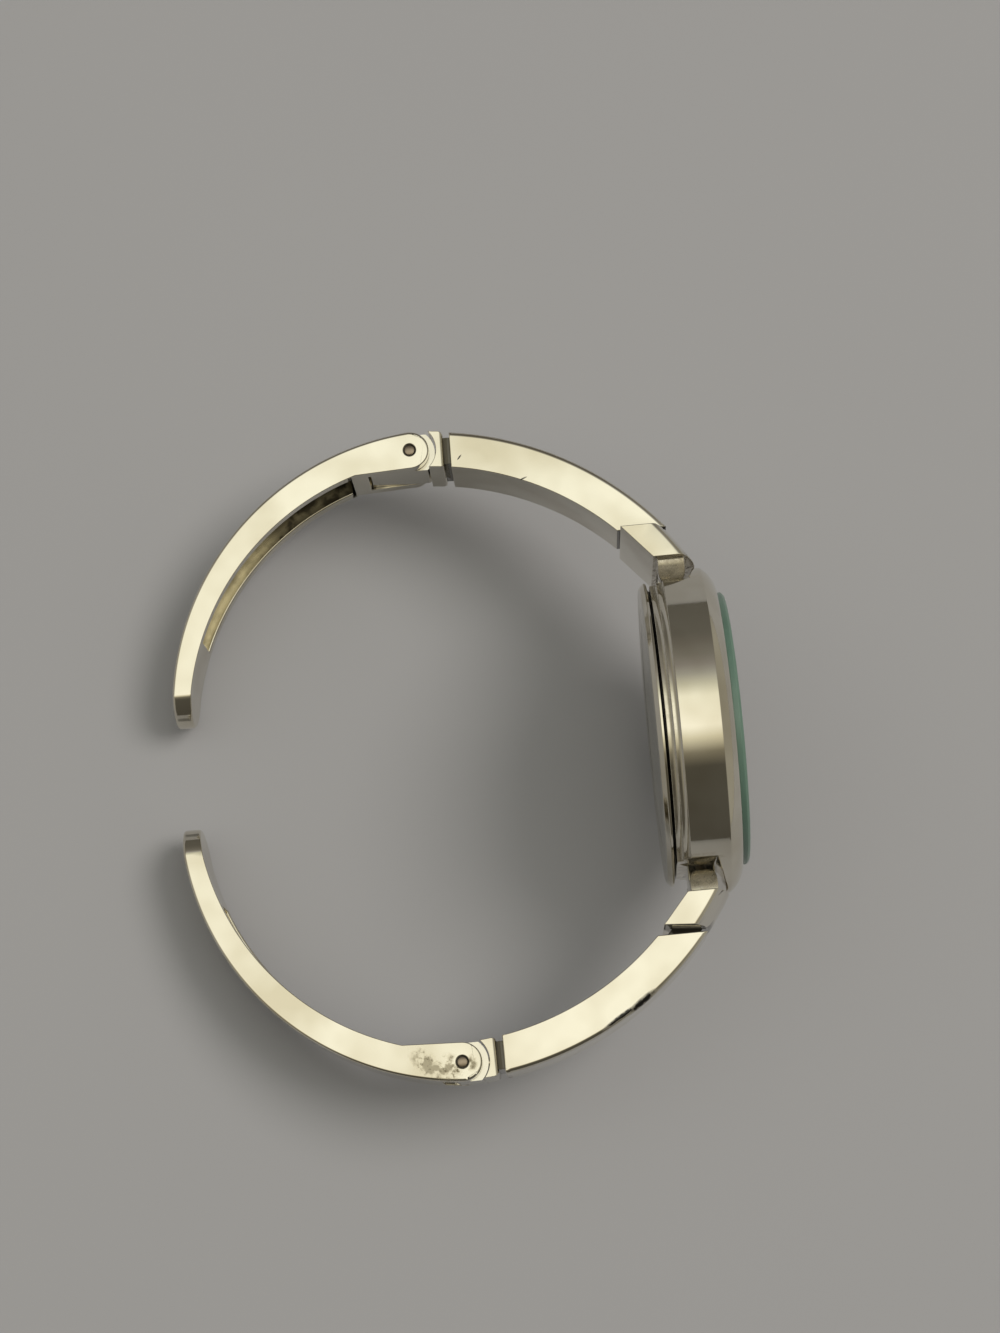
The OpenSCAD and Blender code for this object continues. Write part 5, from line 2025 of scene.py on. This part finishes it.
    def build(self, side: Side) -> None:
        """Makes, cuts and dresses the arm and its hinge pin.

        Args:
            side: Half of the bracelet.
        """
        half, fork = self.bow.width / 2, self.fork_w / 2
        at_hinge = self.bow.at_hinge()
        arm = Solid.prism("arm", self.profile(), -half, half).combine(Cut.KEEP_COMMON, self.sides())
        deep = 2 * self.ear_r
        arm.combine(
            Cut.TAKE_AWAY,
            self.hollow(),
            Solid.block("fork_in", (-self.fork_d, -deep, -fork), (0, 0, fork)).moved(at_hinge),
            Solid.block(
                "fork_out", (-self.ear_r - 0.25, -deep, -fork), (self.nose_r, deep, fork)
            ).moved(at_hinge),
        )
        recess_r, recess_d = self.recess
        for end in (1, -1):
            lows = sorted((end * (half - recess_d), end * 9.0))
            arm.combine(Cut.TAKE_AWAY, Solid.rod("recess", (0, 0), recess_r, *lows, 64).moved(at_hinge))
        arm.obj.name = side.node("spring_arm")
        arm.soften(fine=self.fine_r, width_at=self.edge_width).moved(side.mirrored())
        arm.paint("gap", self.gap_at)
        arm.paint("film", self.film_at)
        coats = [self.finishes["plated_polished_steel"], self.finishes["tarnished_bare_steel"]]
        arm.dress(
            self.lay,
            coats,
            side.node("arm"),
            [side.node("cuff_arm")],
            "polished_steel",
            pick=self.in_pocket,
        )
        self.pin(side)

    def pin(self, side: Side) -> None:
        """Hinge pin with slightly domed ends.

        Args:
            side: Half of the bracelet.
        """
        half, r = self.bow.width / 2 - 0.15, self.pin_r
        outline = [(0, -half), (r * 0.7, -half + 0.02), (r, -half + 0.08)]
        outline += [(r, half - 0.08), (r * 0.7, half - 0.02), (0, half)]
        pin = Solid.turned(side.node("swing_pin"), outline, 48)
        along_z = Matrix.Rotation(math.radians(-90), 4, "Y")
        pin.moved(self.bow.at_hinge() @ along_z).soften(fine=0.02).moved(side.mirrored())
        steel = [self.finishes["turned_pin_steel"]]
        pin.dress(self.lay, steel, side.node("arm"), [side.node("hinge_pin")], "pin_steel")

    def film_at(self, p: Vector) -> float:
        """Dust film and painted shade in the pocket are darkest towards the hinge.

        Args:
            p: A point of the arm.

        Returns:
            Strength from 0 to 1.
        """
        cx, cy = self.centre
        angle = math.degrees(math.atan2(abs(p.y) - cy, p.x - cx))
        clear, full = self.film[1], self.film[0]
        return min(1.0, max(0.0, (clear - angle) / (clear - full)))

    def in_pocket(self, c: Vector, n: Vector) -> int:
        """Tells the pocket's faces, which were never polished, from the others.

        Args:
            c: Centre of the face.
            n: Its normal, which isn't needed here.

        Returns:
            1 for a face of the pocket, 0 for any other.
        """
        cx, cy = self.centre
        x, y = c.x - cx, abs(c.y) - cy
        start, end, width, wall = self.pocket
        inside = abs(c.z) < width / 2 + 0.01 and self.cutter_r < math.hypot(x, y) < self.outer_r - wall + 0.05
        return int(inside and start - 0.1 < math.degrees(math.atan2(y, x)) < end + 0.1)

    def gap_at(self, p: Vector) -> float:
        """Painted shade all round the pin's recess.

        Args:
            p: A point of the arm.

        Returns:
            Strength from 0 to 1.
        """
        off = math.hypot(p.x - self.bow.hinge[0], abs(p.y) - self.bow.hinge[1])
        return 0.85 if off < self.recess[0] + 0.02 and abs(p.z) < self.bow.width / 2 - 0.12 else 0.0


# Everything that keeps its CAD shape


@dataclass
class KeptPieces:
    """CAD nodes whose shape is right, which only get a finish."""

    finishes: Finishes
    by_finish: dict[str, list[str]] = field(
        default_factory=lambda: {
            "acetal_movement_holder": ["movement_holder"],
            "gilt_brass": [
                "main_plate",
                "train_bridge",
                "setting_sleeve",
                "hour_wheel",
                "cannon_pinion",
                "minute_wheel",
            ],
            "enamelled_copper_wire": ["motor_coil"],
            "green_circuit_mask": ["circuit_board"],
            "pressed_cell_steel": ["button_cell"],
            "drawn_spring_steel": ["motor_stator", "cell_clamp"],
            "turned_pin_steel": ["crown_stem", "seconds_arbor"],
            "polished_hinge_steel": ["crown_tube"],
            "black_seal_rubber": ["crown_seal"],
        }
    )
    both_sides: dict[str, list[str]] = field(
        default_factory=lambda: {
            "turned_pin_steel": ["lug_pin", "tongue_pin", "slider_nut"],
            "polished_hinge_steel": ["hinge_slider"],
        }
    )

    def dress(self, nodes: dict[str, bpy.types.Object]) -> None:
        """Gives each node its material.

        Args:
            nodes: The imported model's objects by name.
        """
        wanted = {n: finish for finish, names in self.by_finish.items() for n in names}
        for side in Side:
            for finish, names in self.both_sides.items():
                wanted.update({side.node(n): finish for n in names})
        for name, finish in wanted.items():
            mesh = nodes[name].data
            mesh.materials.clear()
            mesh.materials.append(self.finishes[finish])
            log.info("%s keeps its shape, finish %s", name, finish)


# Stage


@dataclass
class Studio:
    """Floor, soft light and the camera that took the photo's view."""

    lay: Lay
    table_colour: str = "#abadb7"
    table_cloud: str = "#a7a9b4"
    far_walls: str = "#8d897d"
    room_strength: float = 1.25
    lamp_at: tuple[float, float, float] = (0.55, 0.25, 1.3)
    lamp_size: float = 0.8
    lamp_watts: float = 7.5
    camera_at: tuple[float, float, float] = (-14.83, -52.19, 297.69)
    right: tuple[float, float, float] = (0.99541, -0.08936, -0.03375)
    down: tuple[float, float, float] = (-0.0943, -0.97565, -0.19797)
    lens: float = 80.0
    # Colours of the room by degrees from straight up, towards 6 o'clock below 0 and 12 o'clock above
    room: tuple[tuple[float, str], ...] = (
        (-90, "#47443d"),
        (-34, "#4c4941"),
        (-24, "#7c7666"),
        (-14, "#d5ceb4"),
        (-6, "#fffbe9"),
        (15, "#fbf9e7"),
        (23, "#cdccbb"),
        (31, "#a1a099"),
        (37.5, "#87837f"),
        (45.5, "#737069"),
        (55, "#646059"),
        (63, "#5a5750"),
        (90, "#54514a"),
    )

    def build(self) -> None:
        """Sets up the stage."""
        self.floor()
        self.room_light()
        self.lamp()
        self.camera()

    def floor(self) -> None:
        """A wide smooth table top with faint cloudy marks."""
        bm = bmesh.new()
        bmesh.ops.create_grid(bm, x_segments=8, y_segments=8, size=3.0)
        mesh = bpy.data.meshes.new("table_top")
        bm.to_mesh(mesh)
        bm.free()
        table = bpy.data.objects.new("table_top", mesh)
        bpy.context.collection.objects.link(table)
        material = bpy.data.materials.new("satin_laminate_table")
        material.use_nodes = True
        tree = material.node_tree
        shader = tree.nodes["Principled BSDF"]
        shader.inputs["Roughness"].default_value = 0.5
        place = add_node(tree, "ShaderNodeTexCoord").outputs["Object"]
        cloud = add_node(tree, "ShaderNodeTexNoise", {"Vector": place, "Scale": 9.0, "Detail": 3.0})
        colour = add_node(
            tree,
            "ShaderNodeMix",
            {0: cloud.outputs["Fac"], 6: srgb(self.table_colour), 7: srgb(self.table_cloud)},
            data_type="RGBA",
        )
        tree.links.new(colour.outputs[2], shader.inputs["Base Color"])
        mesh.materials.append(material)

    def room_light(self) -> None:
        """A pale ceiling over darker walls, as the polished links mirror it."""
        world = bpy.data.worlds.new("soft_room")
        bpy.context.scene.world = world
        world.use_nodes = True
        tree = world.node_tree
        shade = tree.nodes["Background"]
        place = add_node(tree, "ShaderNodeTexCoord").outputs["Generated"]
        along, out, up = (
            add_node(
                tree,
                "ShaderNodeVectorMath",
                {0: place, 1: self.lay.direction(*axis)},
                operation="DOT_PRODUCT",
            ).outputs["Value"]
            for axis in ((0.0, 1.0, 0.0), (1.0, 0.0, 0.0), (0.0, 0.0, 1.0))
        )
        angle = add_node(tree, "ShaderNodeMath", {0: along, 1: up}, operation="ARCTAN2").outputs[0]
        half_turn = {"Value": angle, "From Min": -math.pi / 2, "From Max": math.pi / 2}
        turn = add_node(tree, "ShaderNodeMapRange", half_turn).outputs["Result"]
        ramp = add_node(tree, "ShaderNodeValToRGB", {"Fac": turn})
        stops = [(0.5 + degrees / 180, code) for degrees, code in self.room]
        ramp.color_ramp.elements[0].position = stops[0][0]
        ramp.color_ramp.elements[0].color = srgb(stops[0][1])
        ramp.color_ramp.elements[1].position = stops[-1][0]
        ramp.color_ramp.elements[1].color = srgb(stops[-1][1])
        for position, code in stops[1:-1]:
            ramp.color_ramp.elements.new(position).color = srgb(code)
        far = add_node(tree, "ShaderNodeMath", {0: out}, operation="ABSOLUTE").outputs[0]
        share = add_node(tree, "ShaderNodeMapRange", {"Value": far, "From Min": 0.45, "From Max": 0.8})
        walls = add_node(
            tree,
            "ShaderNodeMix",
            {0: share.outputs["Result"], 6: ramp.outputs["Color"], 7: srgb(self.far_walls)},
            data_type="RGBA",
        )
        tree.links.new(walls.outputs[2], shade.inputs["Color"])
        shade.inputs["Strength"].default_value = self.room_strength

    def lamp(self) -> None:
        """One broad soft lamp on the dial's side, which only shades and shadows show."""
        lamp = bpy.data.lights.new("soft_lamp", "AREA")
        lamp.shape = "DISK"
        lamp.size = self.lamp_size
        lamp.energy = self.lamp_watts
        lamp.color = srgb("#fff6e4")[:3]
        holder = bpy.data.objects.new("soft_lamp", lamp)
        bpy.context.collection.objects.link(holder)
        holder.location = self.lamp_at
        holder.rotation_mode = "QUATERNION"
        holder.rotation_quaternion = holder.location.to_track_quat("Z", "Y")
        holder.visible_glossy = False

    def camera(self) -> None:
        """The photo's view, worked out from the watch's own proportions."""
        right = self.lay.direction(*self.right)
        down = self.lay.direction(*self.down)
        forward = right.cross(down).normalized()
        down = forward.cross(right).normalized()
        data = bpy.data.cameras.new("photo_view")
        data.sensor_width = 36
        data.lens = self.lens
        data.clip_start = 0.01
        data.clip_end = 20
        camera = bpy.data.objects.new("photo_view", data)
        bpy.context.collection.objects.link(camera)
        turn = Matrix((right, -down, -forward)).transposed().to_4x4()
        camera.matrix_world = Matrix.Translation(self.lay.point(*self.camera_at)) @ turn
        bpy.context.scene.camera = camera


def main() -> None:
    """Builds the watch's looks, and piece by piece."""
    logging.basicConfig(level=logging.INFO, format="%(message)s")
    scene = bpy.context.scene
    scene.view_settings.view_transform = "Standard"
    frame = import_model()
    lay = Lay.from_joints(frame["joints"])
    Studio(lay).build()
    finishes = Finishes(lay)
    MiddleCase(lay, finishes).build()
    CaseClosures(lay, finishes).build()
    DialSide(lay, finishes).build()
    Crown(lay, finishes).build()
    bow = BowGeometry()
    for side in Side:
        EndLink(lay, finishes, bow).build(side)
        ArcLink(lay, finishes, bow).build(side)
        CuffArm(lay, finishes, bow).build(side)
    KeptPieces(finishes).dress(frame["nodes"])


if __name__ == "__main__":
    main()
